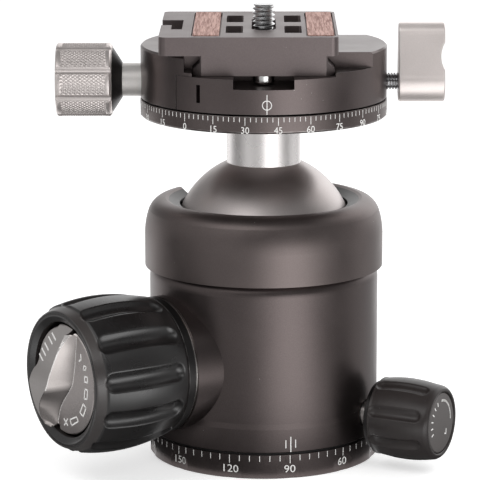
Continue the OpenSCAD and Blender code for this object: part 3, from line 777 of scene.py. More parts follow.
# %% Tree: scooped grooves
def make_scoops():
    tree, given, out = new_group("scooped grooves", "GeometryNodeTree", {
        **SURFACE_IN, "Count": 12.0, "Phase": 0.0, "Cutter radius": 2.4, "Cutter path radius": 23.1,
        "From": 44.7, "To": 61.7, "Barrel radius": 3000.0, "Barrel middle": 53.0, "Lip": 0.5,
        "Untouched radius": 18.0}, SURFACE_OUT)
    away, angle, height = polar(tree)
    barrel, cutter = given["Barrel radius"], given["Cutter radius"]
    along = height - given["Barrel middle"]
    sag = barrel - (barrel * barrel - along * along).then("SQRT")
    path = given["Cutter path radius"] - sag
    pitch = FULL_TURN / given["Count"]
    off = (angle - given["Phase"]).then("WRAP", pitch * 0.5, pitch * -0.5)
    over = (given["From"] - height).then("MAXIMUM", 0.0) + (height - given["To"]).then("MAXIMUM", 0.0)
    side = path * off.then("SINE")
    rest = cutter * cutter - over * over - side * side
    reach = rest.then("SIGN") * rest.then("ABSOLUTE").then("SQRT")
    cut = path * off.then("COSINE") - reach
    rounded = away.then("SMOOTH_MIN", cut, given["Lip"])
    inner = away.then("LESS_THAN", given["Untouched radius"])
    surface_ending(tree, given, out, inner * away + (1.0 - inner) * rounded, angle, height)
    return tree


SCOOPS = make_scoops()
print("tree:", SCOOPS.name)

# %% [markdown]
# A knurl is two sets of crossing V grooves rolled into the metal. Each set is a triangle wave
# in angle plus or minus height, and the surface is the lower of the two. It fades out at both
# ends and where the flutes were milled before it, so those stay plain.

# %% Tree: diamond knurl
def make_knurl():
    tree, given, out = new_group("diamond knurl", "GeometryNodeTree", {
        **SURFACE_IN, "Diamonds": 56.0, "Pitch": 1.6, "Depth": 0.5, "Outer radius": 10.45,
        "From": 44.4, "To": 57.4}, SURFACE_OUT)
    away, angle, height = polar(tree)
    turn = angle * (given["Diamonds"] / FULL_TURN)
    climb = height / given["Pitch"]
    one, two = (turn + climb).then("PINGPONG", 0.5), (turn - climb).then("PINGPONG", 0.5)
    hollow = 0.5 - one.then("MINIMUM", two)
    unfluted = (away - given["Outer radius"]).remap(-0.16, -0.02)
    mask = between(height, given["From"], given["To"], 0.3) * unfluted
    drop = hollow * 2.0 * (mask * given["Depth"])
    surface_ending(tree, given, out, away - drop, angle, height)
    return tree


KNURL = make_knurl()
print("tree:", KNURL.name)

# %% [markdown]
# A screw thread is one V groove that climbs by its pitch each turn. It runs out at both ends of
# its length, as a die leaves it, and only touches points near the outside.

# %% Tree: screw thread
def make_thread():
    tree, given, out = new_group("screw thread", "GeometryNodeTree", {
        **SURFACE_IN, "Pitch": 1.27, "Depth": 0.7, "Outer radius": 3.175, "From": 0.0, "To": 10.0},
        SURFACE_OUT)
    away, angle, height = polar(tree)
    phase = height / given["Pitch"] - angle / FULL_TURN
    wave = (phase + 100.0).then("PINGPONG", 0.5) * 2.0
    outside = (away - given["Outer radius"]).remap(-0.3, -0.01)
    mask = between(height, given["From"], given["To"], 0.4) * outside
    drop = wave.remap(0.12, 0.88) * given["Depth"] * mask
    surface_ending(tree, given, out, away - drop, angle, height)
    return tree


THREAD = make_thread()
print("tree:", THREAD.name)

# %% [markdown]
# ## The rubber of the two round knobs
# The big grip is a barrel with twelve scoops, a plain flange towards the housing and a rolled
# front lip round the dial. The small one has eight scoops. Both are rings: their outline goes
# up the outside and comes back down the bore. First come the side of a barrel, and the steps
# that every turned piece goes through.

# %% Turning a blank and working it
def barrel(widest, middle, r, low, high, count):
    """Points up the side of a barrel, an arc of radius r that is widest at its middle."""
    return [(widest - r + math.sqrt(r * r - (z - middle) ** 2), z)
            for z in (low + (high - low) * i / count for i in range(count + 1))]


def detailed(name, node, profile, passes, step, turns, axis, closed=False, smooth=50):
    """Turns a fine blank, runs one or more trees over it, and puts it in the place of a node."""
    outline = fine(profile + profile[:1], step)[:-1] if closed else fine(profile, step)
    bm = turned(outline, turns, closed)
    bmesh.ops.recalc_face_normals(bm, faces=bm.faces)
    mesh = mesh_of(bm, name)
    for tree, values in passes:
        obj = grow(name, tree, values, mesh)
        mesh = obj.data
        if tree is not passes[-1][0]:
            bpy.data.objects.remove(obj)
    obj.data.transform(Matrix.Scale(MM, 4) @ axis)
    shade_smooth(obj, smooth)
    settle(obj, BODY[node], SLOT[node], node)
    return obj


print("a test barrel starts at", [round(x, 2) for x in barrel(22.0, 0.0, 50.0, -10.0, 10.0, 4)[0]])

# %% [markdown]
# The faces of the big grip beyond the barrel, apart from the flat ones in front, take a paler rubber of their
# own: a painted sheen on the lip.

# %% The two rubber grips
BIG_BARREL_R, BIG_MIDDLE, LIP_START = 52.0, 54.1, 65.4
BIG_GRIP = ([(16.3, 38.15), (19.0, 38.15), (19.35, 38.3), (19.72, 38.85)]
            + barrel(22.0, BIG_MIDDLE, BIG_BARREL_R, 39.3, 65.0, 14)
            + [(20.62, 65.25), (20.36, 65.36), (20.2, 65.6), (19.4, 67.7), (19.2, 68.05), (18.9, 68.15),
               (18.75, 67.95), (18.5, 67.95), (18.35, 68.15), (18.0, 68.15), (17.6, 67.9), (16.3, 66.95)])
BIG_SCOOPS = {"Material": LOOK["rubber"], "Count": 12.0, "Phase": math.radians(187.8), "Cutter radius": 3.2,
              "Cutter path radius": 23.55, "Barrel radius": BIG_BARREL_R, "Barrel middle": BIG_MIDDLE,
              "From": 42.7, "To": 63.2, "Lip": 0.6, "Untouched radius": 18.6}
big_grip = detailed("knob_grip_rubber", "knob_grip", BIG_GRIP, [(SCOOPS, BIG_SCOOPS)], 0.32, 440, ON_MAIN,
                    closed=True)
big_grip.data.materials.append(LOOK["rubber_lip"])
for face in big_grip.data.polygons:
    past_barrel = face.center.dot(MAIN_OUTWARD) / MM > LIP_START
    face.material_index = int(past_barrel and face.normal.dot(MAIN_OUTWARD) < 0.8)

SMALL_BARREL_R, SMALL_MIDDLE = 40.0, 46.2
SMALL_GRIP = ([(8.4, 38.05), (10.6, 38.05), (11.0, 38.35)]
              + barrel(11.6, SMALL_MIDDLE, SMALL_BARREL_R, 39.0, 54.9, 8)
              + [(10.5, 55.6), (10.15, 56.2), (9.75, 56.6), (9.3, 56.65), (8.9, 56.5), (8.72, 56.1),
                 (8.72, 55.3), (8.4, 55.05)])
SMALL_SCOOPS = {"Material": LOOK["small_rubber"], "Count": 8.0, "Phase": math.radians(24.5),
                "Cutter radius": 2.6, "Cutter path radius": 13.35, "Barrel radius": SMALL_BARREL_R,
                "Barrel middle": SMALL_MIDDLE, "From": 40.4, "To": 52.6, "Lip": 0.35,
                "Untouched radius": 9.9}
detailed("pan_grip_rubber", "pan_grip", SMALL_GRIP, [(SCOOPS, SMALL_SCOOPS)], 0.25, 300, ON_PAN, closed=True)

# %% [markdown]
# ## Knurl and threads
# The clamp knob is a knurled cylinder with eight milled flutes: the scoop tree mills the
# flutes, then the knurl tree rolls the diamonds on what is left. Only its outside needs many
# points, so the outline is fine there and coarse in the bore.

# %% Clamp grip
KNURL_R = 10.45
KNOB = ([(3.05, 42.95), (9.0, 42.95)]
        + fine([(9.1, 42.95), (9.55, 42.95), (10.0, 43.2), (10.4, 43.6), (KNURL_R, 43.8)], 0.15)
        + fine([(KNURL_R, 44.3), (KNURL_R, 57.5)], 0.14)
        + fine([(KNURL_R, 57.65), (KNURL_R, 58.1), (10.35, 58.5), (9.85, 58.85), (8.9, 58.88)], 0.15)
        + [(7.1, 58.9), (6.8, 58.75), (6.75, 58.45), (0.3, 58.4), (0.3, 56.1), (3.05, 56.1)])
FLUTES = {"Material": LOOK["clamp_silver"], "Count": 8.0, "Phase": math.radians(22.5), "Cutter radius": 1.6,
          "Cutter path radius": 11.5, "From": 30.0, "To": 70.0, "Lip": 0.08, "Untouched radius": 9.0}
DIAMONDS = {"Material": LOOK["clamp_silver"], "Outer radius": KNURL_R, "From": 44.5, "To": 57.4,
            "Diamonds": 68.0, "Pitch": 1.3, "Depth": 0.24}
detailed("clamp_grip_knurled", "clamp_grip", KNOB, [(SCOOPS, FLUTES), (KNURL, DIAMONDS)], 2.5, 624, ON_LEFT,
         closed=True, smooth=30)

# %% [markdown]
# The camera screw and the lever bolt are blanks with a thread cut on them. The neck of the
# camera screw is thinner than its thread, which keeps the screw in the plate when it is loose.

# %% Camera screw and lever bolt
SCREW_R, SCREW_HEAD_R, SCREW_NECK_R = 3.175, 7.4, 2.4
SCREW = [(0, 114.35), (SCREW_HEAD_R - 0.3, 114.35), (SCREW_HEAD_R, 114.65), (SCREW_HEAD_R, 117.1),
         (SCREW_HEAD_R - 0.25, 117.35), (SCREW_NECK_R, 117.35), (SCREW_NECK_R, 121.3), (3.15, 121.6),
         (SCREW_R, 121.8), (SCREW_R, 129.6), (2.75, 130.15), (0, 130.2)]
SCREW_THREAD = {"Material": LOOK["steel"], "Pitch": 1.27, "Depth": 0.72, "Outer radius": SCREW_R,
                "From": 121.5, "To": 130.2}
detailed("camera_screw_thread", "camera_screw", SCREW, [(THREAD, SCREW_THREAD)], 0.1, 120, UPRIGHT,
         smooth=60)

BOLT_R = 2.5
BOLT = [(0, 19.9), (2.2, 19.9), (BOLT_R, 20.2), (BOLT_R, 46.9), (0, 47)]
BOLT_THREAD = {"Material": LOOK["steel"], "Pitch": 0.8, "Depth": 0.5, "Outer radius": BOLT_R,
               "From": 30.0, "To": 44.0}
detailed("lever_bolt_thread", "lever_bolt", BOLT, [(THREAD, BOLT_THREAD)], 0.1, 72, ON_RIGHT, smooth=60)

# %% [markdown]
# ## The friction dial
# The dial is a satin disc with a comma-shaped thumb grip on it: a sharp crest runs from top to
# bottom, its right side slopes away to the scale, its upper left side drops to the disc, and
# its lower left side is a flat heel. It is one height map over a disc, between two lines that
# say how far to the right the crest and the foot of the slope lie at each height.

# %% Shape of the thumb grip
# Both lines from top to bottom, as (right, up) in millimetres from the middle of the dial
CREST = [(5.3, 15.5), (5.2, 14.6), (0.7, 8.4), (-1.8, 4.3), (-4.3, -0.15), (-6.0, -4.1), (-8.0, -6.2),
         (-9.4, -8.4), (-9.5, -10.3), (-8.4, -12.8), (-6.6, -14.4), (-3.4, -15.6)]
FOOT = [(6.8, 15.5), (6.6, 14.2), (6.15, 9.8), (5.5, 5.1), (4.6, 1.0), (3.8, -1.3), (0.3, -5.0),
        (-2.1, -7.7), (-3.6, -10.9), (-4.1, -13.9), (-3.9, -15.9)]
GRIP_HEIGHT, FULL_SLOPE = 3.0, 4.6
CORNER_EASING = (-1.2, -0.6, 0.0, 0.6, 1.2)


def corner_to_corner(line, up):
    """How far right a line is at one height."""
    for (x1, y1), (x2, y2) in zip(line, line[1:]):
        if y2 <= up <= y1:
            return x1 + (x2 - x1) * (y1 - up) / max(y1 - y2, 1e-6)
    return line[0][0] if up > line[0][1] else line[-1][0]


def across(line, up):
    """The same with its corners eased, as a mean over a few heights."""
    return sum(corner_to_corner(line, up + off) for off in CORNER_EASING) / len(CORNER_EASING)


def ease(low, high, value):
    """0 at low and 1 at high, with a slow start and end; low may be the larger one."""
    t = min(1.0, max(0.0, (value - low) / (high - low)))
    return t * t * (3 - 2 * t)


def dial_height(right, up):
    """Height of the thumb grip over the disc; where the slope is narrow its crest is lower."""
    crest = across(CREST, up)
    wide = max(across(FOOT, up), crest + 0.8) - crest
    if right >= crest:
        share = min(1.0, (right - crest) / wide)
        full = wide / (wide ** 4 + FULL_SLOPE ** 4) ** 0.25
        return GRIP_HEIGHT * (1 + (full - 1) * ease(-3.0, 3.0, up)) * (1 - share) ** 1.25
    heel = ease(3.4, -3.6, up)
    steep_side = max(0.0, 1 - (crest - right) / 0.9)
    return GRIP_HEIGHT * max(heel, steep_side)


print("height at the middle of the dial:", round(dial_height(0, 0), 2), "mm")

# %% [markdown]
# The edge of the disc has two small notches and a shallow step at the upper left. Rings of points carry the
# height map to that edge, and a short skirt closes the disc below. Each face takes its finish from where it
# lies: the slope, the face to its right, the pale flat to its left, or one of the two near-white lines along
# the crest and the foot of the slope, which are a painted highlight.

# %% The dial as a mesh
DIAL_EDGE_R, DIAL_FACE_Z, DIAL_BACK_Z = 15.48, 66.8, 60.3
NOTCHES = ((71, 3.5, 0.9), (254.5, 4.5, 1.1))
# The four finishes of the dial by number; the last is the painted highlight of the two lines
SLOPE, FACE, FLAT, HIGHLIGHT_LINE = range(4)


def dial_edge(angle):
    """Outline radius of the disc by angle from the right, counter-clockwise."""
    degrees = math.degrees(angle) % 360
    edge = DIAL_EDGE_R
    for middle, half, depth in NOTCHES:
        gap = abs((degrees - middle + 180) % 360 - 180)
        edge -= depth * ease(half, half * 0.4, gap)
    return edge - 0.6 * (ease(100, 106, degrees) * ease(180, 174, degrees))


def dial_finish(right, up):
    """Which of the four finishes a face takes."""
    from_crest, from_foot = right - across(CREST, up), right - across(FOOT, up)
    if (abs(from_crest - 0.12) < 0.22 and up > -4.2) or abs(from_foot) < 0.1:
        return HIGHLIGHT_LINE
    if from_crest < -0.1:
        return FLAT
    return FACE if from_foot > 0.1 else SLOPE


def build_dial(rings=96, turns=360):
    bm = bmesh.new()
    angles = [FULL_TURN * k / turns for k in range(turns)]
    rows = [[bm.verts.new((0, 0, DIAL_FACE_Z + dial_height(0, 0)))]]
    for i in range(1, rings + 1):
        rounding = 0.25 * ease(rings - 2, rings, i)
        row = []
        for a in angles:
            r = dial_edge(a) * i / rings
            right, up = r * math.cos(a), r * math.sin(a)
            row.append(bm.verts.new((-up, right, DIAL_FACE_Z + dial_height(right, up) - rounding)))
        rows.append(row)
    for share, z in ((1.0, 64.0), (1.0, DIAL_BACK_Z + 0.2), (0.985, DIAL_BACK_Z)):
        edge = [(a, share * dial_edge(a)) for a in angles]
        rows.append([bm.verts.new((-r * math.sin(a), r * math.cos(a), z)) for a, r in edge])
    rows.append([bm.verts.new((0, 0, DIAL_BACK_Z))])
    for face in bridge(bm, rows, turns):
        middle = face.calc_center_median()
        if middle.z > DIAL_FACE_Z - 0.1:
            face.material_index = dial_finish(middle.y, -middle.x)
    return bm


dial = piece("tension_dial_comma", build_dial(), ON_MAIN,
             [LOOK[key] for key in ("dial", "dial_face", "dial_flat", "dial_highlight_lines")])
shade_smooth(dial, 30)
settle(dial, "dial", "satin_silver", "tension_dial")

# %% [markdown]
# ## Printed scales
# The scales are thin solids of paint, a few hundredths of a millimetre proud, so they are real
# shapes and not a picture. A tree sets out the ticks of a scale: every tick is a small bar whose
# length depends on its place in the row.

# %% Tree: ticks round a disc
# Where each scale starts, and how far its paint stands out
BASE_SCALE_AZ, TOP_SCALE_AZ = -77, -128.4
PAINT = 0.04


def make_ticks():
    tree, given, out = new_group("ring of ticks", "GeometryNodeTree", {
        "Material": "Material", "Count": 72, "Long every": 6, "Radius": 33.0, "First angle": 0.0,
        "Top": 6.9, "Short": 1.8, "Long": 2.4, "Width": 0.22, "Thick": 0.08}, SURFACE_OUT)
    points = value_of(tree, "GeometryNodePoints", {"Count": given["Count"]})
    index = value_of(tree, "GeometryNodeInputIndex")
    angle = given["First angle"] + index * FULL_TURN / given["Count"]
    is_long = index.then("FLOORED_MODULO", given["Long every"]).then("COMPARE", 0.0, 0.5)
    length = given["Short"] + is_long * (given["Long"] - given["Short"])
    places = round_place(tree, given["Radius"], angle, given["Top"] - length * 0.5)
    ring = value_of(tree, "GeometryNodeInstanceOnPoints", {
        "Points": set_places(tree, points, places), "Instance": value_of(tree, "GeometryNodeMeshCube"),
        "Rotation": value_of(tree, "ShaderNodeCombineXYZ", {2: angle}),
        "Scale": value_of(tree, "ShaderNodeCombineXYZ", {0: given["Thick"], 1: given["Width"], 2: length})})
    ending(tree, ring, given["Material"], out)
    return tree


TICKS = make_ticks()


def ticks(name, values, body):
    """Grows one ring of ticks and settles it."""
    obj = grow(name, TICKS, {"Material": LOOK["paint"], "Long every": 6, "Thick": 2 * PAINT, **values})
    obj.data.transform(Matrix.Scale(MM, 4))
    settle(obj, body, "satin_silver")


ticks("base_ticks", {"Count": 72, "Radius": BASE_R, "First angle": math.radians(BASE_SCALE_AZ),
                     "Top": 6.75, "Short": 1.65, "Long": 2.3, "Width": 0.2}, "base")
ticks("top_ticks", {"Count": 144, "Radius": SCALE_R, "First angle": math.radians(TOP_SCALE_AZ),
                    "Top": 103.3, "Short": 1.25, "Long": 2.2, "Width": 0.17}, "ball_stem")

# %% [markdown]
# Numbers, lines and signs are drawn flat, with a little thickness. Figures are a Text curve made
# a mesh, and all the rest is drawn with bars: a line is one bar, an arc is a row of them.

# %% Flat drawings
# Size of the font over the height of its figures
LETTER_SIZE = 1.38


def flat_text(text, height):
    """Figures of a given height in millimetres, as flat solids."""
    curve = bpy.data.curves.new("figures", "FONT")
    curve.body, curve.size = text, height * LETTER_SIZE
    curve.align_x, curve.align_y = "CENTER", "CENTER"
    curve.extrude, curve.resolution_u = PAINT, 3
    carrier = in_scene("figures", curve)
    mesh = evaluated_mesh(carrier)
    bm = bmesh.new()
    bm.from_mesh(mesh)
    bmesh.ops.remove_doubles(bm, verts=bm.verts, dist=1e-4)
    bpy.data.objects.remove(carrier)
    bpy.data.meshes.remove(mesh)
    return bm


def bar(bm, start, end, width):
    """A flat bar between two points, as a closed box."""
    along = (Vector(end) - Vector(start)).normalized() * width / 2
    side = Vector((-along.y, along.x))
    first, last = Vector(start) - along, Vector(end) + along
    low, high = ([bm.verts.new((*p, z)) for p in (first - side, last - side, last + side, first + side)]
                 for z in (-PAINT, PAINT))
    for i in range(4):
        j = (i + 1) % 4
        bm.faces.new((low[i], low[j], high[j], high[i]))
    bm.faces.new(low[::-1])
    bm.faces.new(high)


def bars(*rows):
    """A drawing of bars, each given as its two points and its width."""
    bm = bmesh.new()
    for start, end, width in rows:
        bar(bm, start, end, width)
    return bm


def arc_bars(radius, first, last, wide_first, wide_last, steps=24):
    """An arc between two angles in degrees, which may grow wider or narrower on its way."""
    corners = [(radius * math.cos(a), radius * math.sin(a))
               for a in (math.radians(first + (last - first) * i / steps) for i in range(steps + 1))]
    return bars(*((a, b, wide_first + (wide_last - wide_first) * i / steps)
                  for i, (a, b) in enumerate(zip(corners, corners[1:]))))


print("a test arc has", len(arc_bars(1.0, 0, 90, 0.1, 0.2).faces), "faces")

# %% [markdown]
# A drawing is then bent round the disc that it is printed on. The numbers of the base stand in
# its twelve hollows, which are scooped with a cutter of their own, so they bend the other way.

# %% Scale numbers and index lines
# A hair of room between metal and paint, so that the two never share a face
HAIR = 0.03
HOLLOW_R, HOLLOW_DEPTH = 22.0, 0.5
HOLLOW_AXIS = BASE_R + HOLLOW_R - HOLLOW_DEPTH
PAN_INDEX_AZ, CLAMP_INDEX_AZ = FRONT_AZ + 13.3, FRONT_AZ + 1.48


def wrapped(bm, radius, az, z, squeeze=1.0):
    """Bends a flat drawing round the pan axis: right stays right for someone outside."""
    for v in bm.verts:
        a = math.radians(az) + v.co.x * squeeze / radius
        r = radius + v.co.z
        v.co = Vector((r * math.cos(a), r * math.sin(a), z + v.co.y))
    return bm


def hollowed(bm, az, z, squeeze):
    """Lays a flat drawing in the hollow of the base that faces az, a hair in front of it."""
    for v in bm.verts:
        side = v.co.x * squeeze
        away = HOLLOW_AXIS - math.sqrt(HOLLOW_R ** 2 - side * side) + HAIR + v.co.z
        v.co = Vector((away, side, z + v.co.y))
    bmesh.ops.transform(bm, matrix=Matrix.Rotation(math.radians(az), 4, "Z"), verts=bm.verts)
    return bm


def printed(name, parts, body, axis=UPRIGHT):
    """Joins several drawings into one piece of paint."""
    whole = bmesh.new()
    for part in parts:
        mesh = mesh_of(part, "part")
        whole.from_mesh(mesh)
        bpy.data.meshes.remove(mesh)
    settle(piece(name, whole, axis, [LOOK["paint"]]), body, "satin_silver")


BASE_NUMBERS = [(90 - 30 * k) % 360 for k in range(12)]
TOP_NUMBERS = [0, 15, 30, 45, 60, 75, 90, 75, 60, 45, 30, 15] * 2
printed("base_numbers", [hollowed(flat_text(str(number), 2.25), BASE_SCALE_AZ + 30 * k, 2.6, 1.12)
                         for k, number in enumerate(BASE_NUMBERS)], "base")
printed("top_numbers", [wrapped(flat_text(str(number), 1.9), SCALE_R, TOP_SCALE_AZ + 15 * k, 99.65, 0.95)
                        for k, number in enumerate(TOP_NUMBERS)], "ball_stem")
pan_lines = bars(((0, 7.9), (0, 12.0), 0.3), ((-1.4, 9.0), (-1.4, 11.1), 0.26),
                 ((1.4, 9.0), (1.4, 11.1), 0.26))
printed("pan_index", [wrapped(pan_lines, BASE_R + 0.02, PAN_INDEX_AZ, 0)], "housing")
printed("clamp_index", [wrapped(arc_bars(1.25, 0, 360, 0.24, 0.24), CLAMP_R, CLAMP_INDEX_AZ, 106.7),
                        wrapped(bars(((0, 104.3), (0, 109.5), 0.24)), CLAMP_R, CLAMP_INDEX_AZ, 0)], "clamp")

# %% [markdown]
# The dial carries a small hook, a row of growing frames, from light to firm, then a cross, and
# five short ticks on the other side. The small cap has an arc that thickens, an arrow end and a
# row of ticks. The signs are drawn as they are seen from outside, with x to the right and y up,
# and one more matrix turns that drawing onto the knob's own axes.

# %% Signs on the dial and the cap
SEEN = Matrix(((0, -1, 0, 0), (1, 0, 0, 0), (0, 0, 1, 0), (0, 0, 0, 1)))
CAP_FACE_Z = 56.4
ON_DIAL = ON_MAIN @ SEEN @ Matrix.Translation((0, 0, DIAL_FACE_Z + HAIR))
ON_CAP = ON_PAN @ SEEN @ Matrix.Translation((0, 0, CAP_FACE_Z + HAIR))


def frame_sign(*corners, width=0.4):
    return bars(*((a, b, width) for a, b in zip(corners, corners[1:] + corners[:1])))


signs = [frame_sign((10.3, 6.1), (11.5, 6.0), (11.2, 5.0), (10.0, 4.9), width=0.34),
         frame_sign((10.6, 3.1), (12.2, 3.2), (12.2, 1.7), (10.6, 1.6)),
         frame_sign((10.7, -0.5), (12.2, -0.4), (11.8, -3.1), (10.3, -3.3)),
         frame_sign((9.7, -4.9), (11.2, -5.7), (9.6, -8.5), (7.9, -7.8)),
         frame_sign((2.4, -11.0), (6.0, -9.4), (6.9, -10.5), (3.3, -12.5)),
         bars(((8.7, 8.9), (8.9, 7.5), 0.4), ((8.8, 7.6), (7.9, 6.9), 0.4)),
         bars(((-0.8, -11.5), (1.0, -12.9), 0.4), ((-0.6, -13.2), (1.0, -11.2), 0.4)),
         bars(*(((x - 0.8, y + 0.7), (x + 0.8, y - 0.7), 0.6)
                for x, y in ((-13.0, 3.6), (-11.5, 5.5), (-9.9, 7.4), (-7.7, 9.6), (-5.8, 11.1))))]
printed("dial_signs", signs, "dial", ON_DIAL)

cap_ticks = [(math.cos(a), math.sin(a)) for a in map(math.radians, (112, 130, 148, 166, 184, 202))]
printed("cap_signs", [arc_bars(6.4, 85, 0, 0.7, 0.35),
                      bars(((3.5, -2.6), (3.4, -3.9), 0.34), ((2.6, -3.7), (3.4, -3.9), 0.34)),
                      bars(*(((5.8 * x, 5.8 * y), (6.7 * x, 6.7 * y), 0.34) for x, y in cap_ticks))],
        "pan_knob", ON_CAP)

# %% [markdown]
# ## Finishes of the remaining solids
# The CAD shapes that are right as they are keep their mesh and get their metal or plastic: most
# by the kind of material that they are made of, and a few by their name.

# %% Materials for the kept CAD nodes
LOOK_OF_SLOT = {
    "black_anodised": "housing", "knob_black": "knob_black", "ball_grey": "ball", "satin_silver": "neck",
    "steel": "steel", "bronze": "bronze", "grip_rubber": "rubber", "pad_rubber": "cork",
    "slide_plastic": "acetal", "cap_black": "cap"}
LOOK_OF_NODE = {
    "collar": "collar", "clamp_screw": "shaft_silver", "pan_screw": "pan_silver", "knob_washer": "washer",
    "stop_screws": "chrome", "plate_pads": "cork", "collar_liner": "liner", "glide_ring": "dark_acetal"}
for node, obj in NODES.items():
    for slot in obj.material_slots:
        slot.material = LOOK[LOOK_OF_NODE.get(node, LOOK_OF_SLOT[SLOT[node]])]
print("dressed", len(NODES), "CAD nodes")

# %% [markdown]
# ## The studio
# A product table is a ring of light and dark cards round the object, because polished metal shows whatever
# stands round it. Here the cards are one tent that only reflections see, and its tone is a rule: it changes
# with the compass angle and with the height over the table, it is dark overhead, it is darker close to the
# object as a painted shadow of the head on the table, and its floor has a few lighter and darker spots. So
# the discs and the knobs get a dark edge and a slow change of tone from side to side.

# %% Tones of the cards
# Tone by compass angle: for cards low down, for those over 8 degrees up, and for a ring over 36
LOW_TONES = [(-180, 1.2), (-150, 0.95), (-132, 1.23), (-111, 0.49), (-95, 0.13), (-81, 0.18), (-68, 0.36),
             (-57, 0.45), (-45, 0.36), (-15, 0.5), (-5, 0.7), (5, 1.4), (15, 2.15), (25, 2.35), (35, 2.15),
             (46, 1.35), (57, 0.68), (69, 0.32), (81, 0.29), (95, 0.63), (111, 0.67), (132, 0.58), (150, 1.2)]
HIGH_TONES = [(-180, 1.25), (-165, 0.95), (-150, 0.4), (-135, 0.26), (-118, 0.3), (-100, 0.4), (-84, 0.4),
              (-65, 0.5), (-40, 0.45), (-15, 0.15), (15, 0.1), (50, 0.1), (80, 0.2), (100, 0.42), (118, 1.0),
              (135, 1.6), (155, 1.6)]
RING_TONES = [(-180, 1.2), (-140, 0.45), (-116, 0.4), (-97, 0.4), (-81, 0.55), (-67, 0.9), (-54, 1.3),
              (-42, 1.7), (-30, 2.0), (-16, 1.9), (-5, 1.35), (5, 1.0), (22, 0.7), (40, 0.45), (80, 0.25),
              (90, 0.4), (100, 0.8), (120, 1.4), (150, 1.6)]
BRIGHTEST = 3.0
# Half-way up the head, in metres: heights are seen from there, and the lights aim at it
HEAD_MIDDLE = 0.06
# Lighter and darker spots on the floor: place, full radius, outer radius and how much they add
FLOOR_SPOTS = [((-0.16, 0.014, 0.0), 0.03, 0.06, 0.42),
               ((-0.098, -0.066, 0.0), 0.014, 0.036, 0.8),
               ((-0.094, -0.026, 0.0), 0.008, 0.026, -0.15),
               ((-0.318, -0.318, 0.0), 0.07, 0.14, 0.5)]


def compass_tones(tree, share, tones):
    """Grey by compass angle round the table: 0 is straight in front, plus is to the right."""
    ramp = add(tree, "ShaderNodeValToRGB", {"Fac": share})
    ramp.color_ramp.interpolation = "LINEAR"
    elements = ramp.color_ramp.elements
    while len(elements) > 1:
        elements.remove(elements[-1])
    for i, (degrees, tone) in enumerate(tones + [(180, tones[0][1])]):
        place = (degrees + 180) / 360
        mark = elements[0] if i == 0 else elements.new(place)
        mark.position = place
        mark.color = (tone / BRIGHTEST, tone / BRIGHTEST, tone / BRIGHTEST, 1)
    return Flow(tree, ramp.outputs[0]) * BRIGHTEST


def card_tone(tree):
    place = value_of(tree, "ShaderNodeTexCoord", output="Object")
    x, y, z = axes(tree, place)
    share = 0.5 + x.then("ARCTAN2", y * -1.0) / FULL_TURN
    away = from_axis(x, y)
    rise = (z - HEAD_MIDDLE).then("ARCTAN2", away).then("DEGREES")
    low, high, ring = (compass_tones(tree, share, tones) for tones in (LOW_TONES, HIGH_TONES, RING_TONES))
    walls = mixed(tree, "FLOAT", rise.remap(-3.0, 8.0), low, high)
    with_ring = mixed(tree, "FLOAT", rise.remap(27.0, 36.0), walls, ring)
    lid = rise.remap(40.0, 61.0, 1.0, 0.07)
    # Darker close to the object: a painted shadow of the head on the table, as reflections see it
    painted_shadow_near = away.remap(0.058, 0.1, 0.15, 1.0)
    tone = with_ring * lid * painted_shadow_near
    for middle, full, none, extra in FLOOR_SPOTS:
        to_spot = value_of(tree, "ShaderNodeVectorMath", {0: place, 1: middle}, "Value", operation="DISTANCE")
        tone = tone + to_spot.remap(full, none, extra, 0.0)
    return tone


print("tones:", len(LOW_TONES), "low,", len(HIGH_TONES), "high,", len(RING_TONES), "in the ring")

# %% [markdown]
# The tent itself is one more turned shape: a floor with a hole under the head, walls, and a
# roof. It only glows, and only reflections see it, so it casts no shadow and no light.

# %% The tent of cards
def card_material():
    material = bpy.data.materials.new("card tones")
    material.use_nodes = True
    tree = material.node_tree
    tree.nodes.remove(tree.nodes["Principled BSDF"])
    glow = value_of(tree, "ShaderNodeEmission", {"Color": card_tone(tree)})
    plug(tree, tree.nodes["Material Output"].inputs, {"Surface": glow})
    return material


def studio_object(name, bm, material):
    mesh = mesh_of(bm, name)
    mesh.materials.append(material)
    obj = in_scene(name, mesh)
    return obj


# (radius, height) in metres
TENT = [(0.036, 0.0004), (0.2, 0.0004), (0.9, 0.0004), (1.0, 0.1), (1.0, 0.7), (0.85, 1.05), (0.5, 1.3),
        (0.02, 1.4)]
cards = studio_object("studio_cards", turned(TENT, 72), card_material())
cards.visible_camera = cards.visible_diffuse = False
cards.visible_shadow = cards.visible_transmission = False
print("the tent of cards has", len(cards.data.polygons), "faces")

# %% [markdown]
# The table is plain and white, and so is the world round it. Both are brighter for the camera
# and for reflections and glass than they are as lights, so the background is white while the
# object keeps its level. The table only glows in part, and so it keeps the object's shadow.

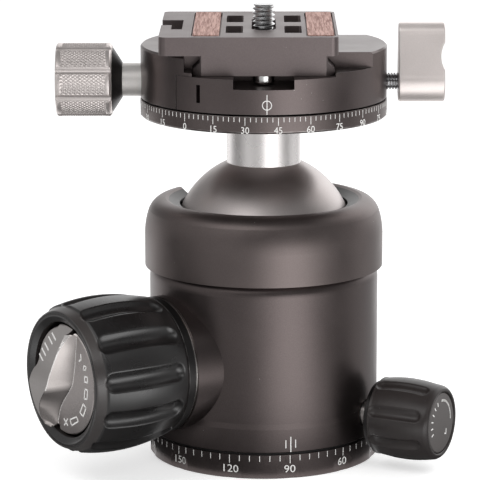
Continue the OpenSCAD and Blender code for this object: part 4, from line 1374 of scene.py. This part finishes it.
# %% Table and world
def seen_directly(tree):
    """1 where the camera looks, straight, in a reflection or through glass, else 0."""
    path = add(tree, "ShaderNodeLightPath").outputs
    straight, mirrored, through = (
        Flow(tree, path[kind]) for kind in ("Is Camera Ray", "Is Glossy Ray", "Is Transmission Ray"))
    return (straight + mirrored + through).then("MINIMUM", 1.0)


def white_table():
    material, tree, shader = blank("white table", Roughness=0.9, Specular_IOR_Level=0.0)
    mottle = noise(tree, value_of(tree, "ShaderNodeTexCoord", output="Object"), 40.0)
    tone = mottle.remap(0.0, 1.0, 0.86, 0.88)
    plug(tree, shader, {"Base Color": tone, "Emission Color": tone,
                        "Emission Strength": seen_directly(tree) * 0.62})
    return material


ground = bmesh.new()
bmesh.ops.create_grid(ground, x_segments=8, y_segments=8, size=3.0)
studio_object("table", ground, white_table())

world = bpy.data.worlds.new("studio")
bpy.context.scene.world = world
world.use_nodes = True
sky = world.node_tree
plug(sky, sky.nodes["Background"].inputs, {
    "Color": (1, 1, 1, 1), "Strength": seen_directly(sky) * 0.45 + 0.55})
print("world:", world.name, "with", len(sky.nodes), "nodes")

# %% [markdown]
# Three large soft lights do the rest: a tall one to the right of the camera, and two that hang
# over the table at the left and at the back right. They are left out of reflections, where the
# cards do that work, so that no hard white window shows in the metal.

# %% Lights
AIM = Vector((0, 0, HEAD_MIDDLE))


def around(degrees, distance, height):
    """A place round the table: 0 degrees is in front, plus is to the right."""
    a = math.radians(degrees)
    return Vector((distance * math.sin(a), -distance * math.cos(a), height))


def soft_light(name, power, width, height, place):
    """A soft rectangle of light, of so many watts, that aims at the middle of the head."""
    data = bpy.data.lights.new(name, "AREA")
    data.shape, data.energy = "RECTANGLE", power
    data.size, data.size_y = width, height
    obj = in_scene(name, data)
    obj.matrix_world = Matrix.Translation(place) @ (place - AIM).to_track_quat("Z", "Y").to_matrix().to_4x4()
    obj.visible_glossy = False


soft_light("tall light right", 1.9, 0.30, 0.60, around(34, 0.75, 0.42))
soft_light("overhead left", 2.0, 0.75, 0.40, around(-60, 0.6, 0.72))
soft_light("overhead back right", 2.2, 0.45, 0.45, around(112, 0.60, 0.66))
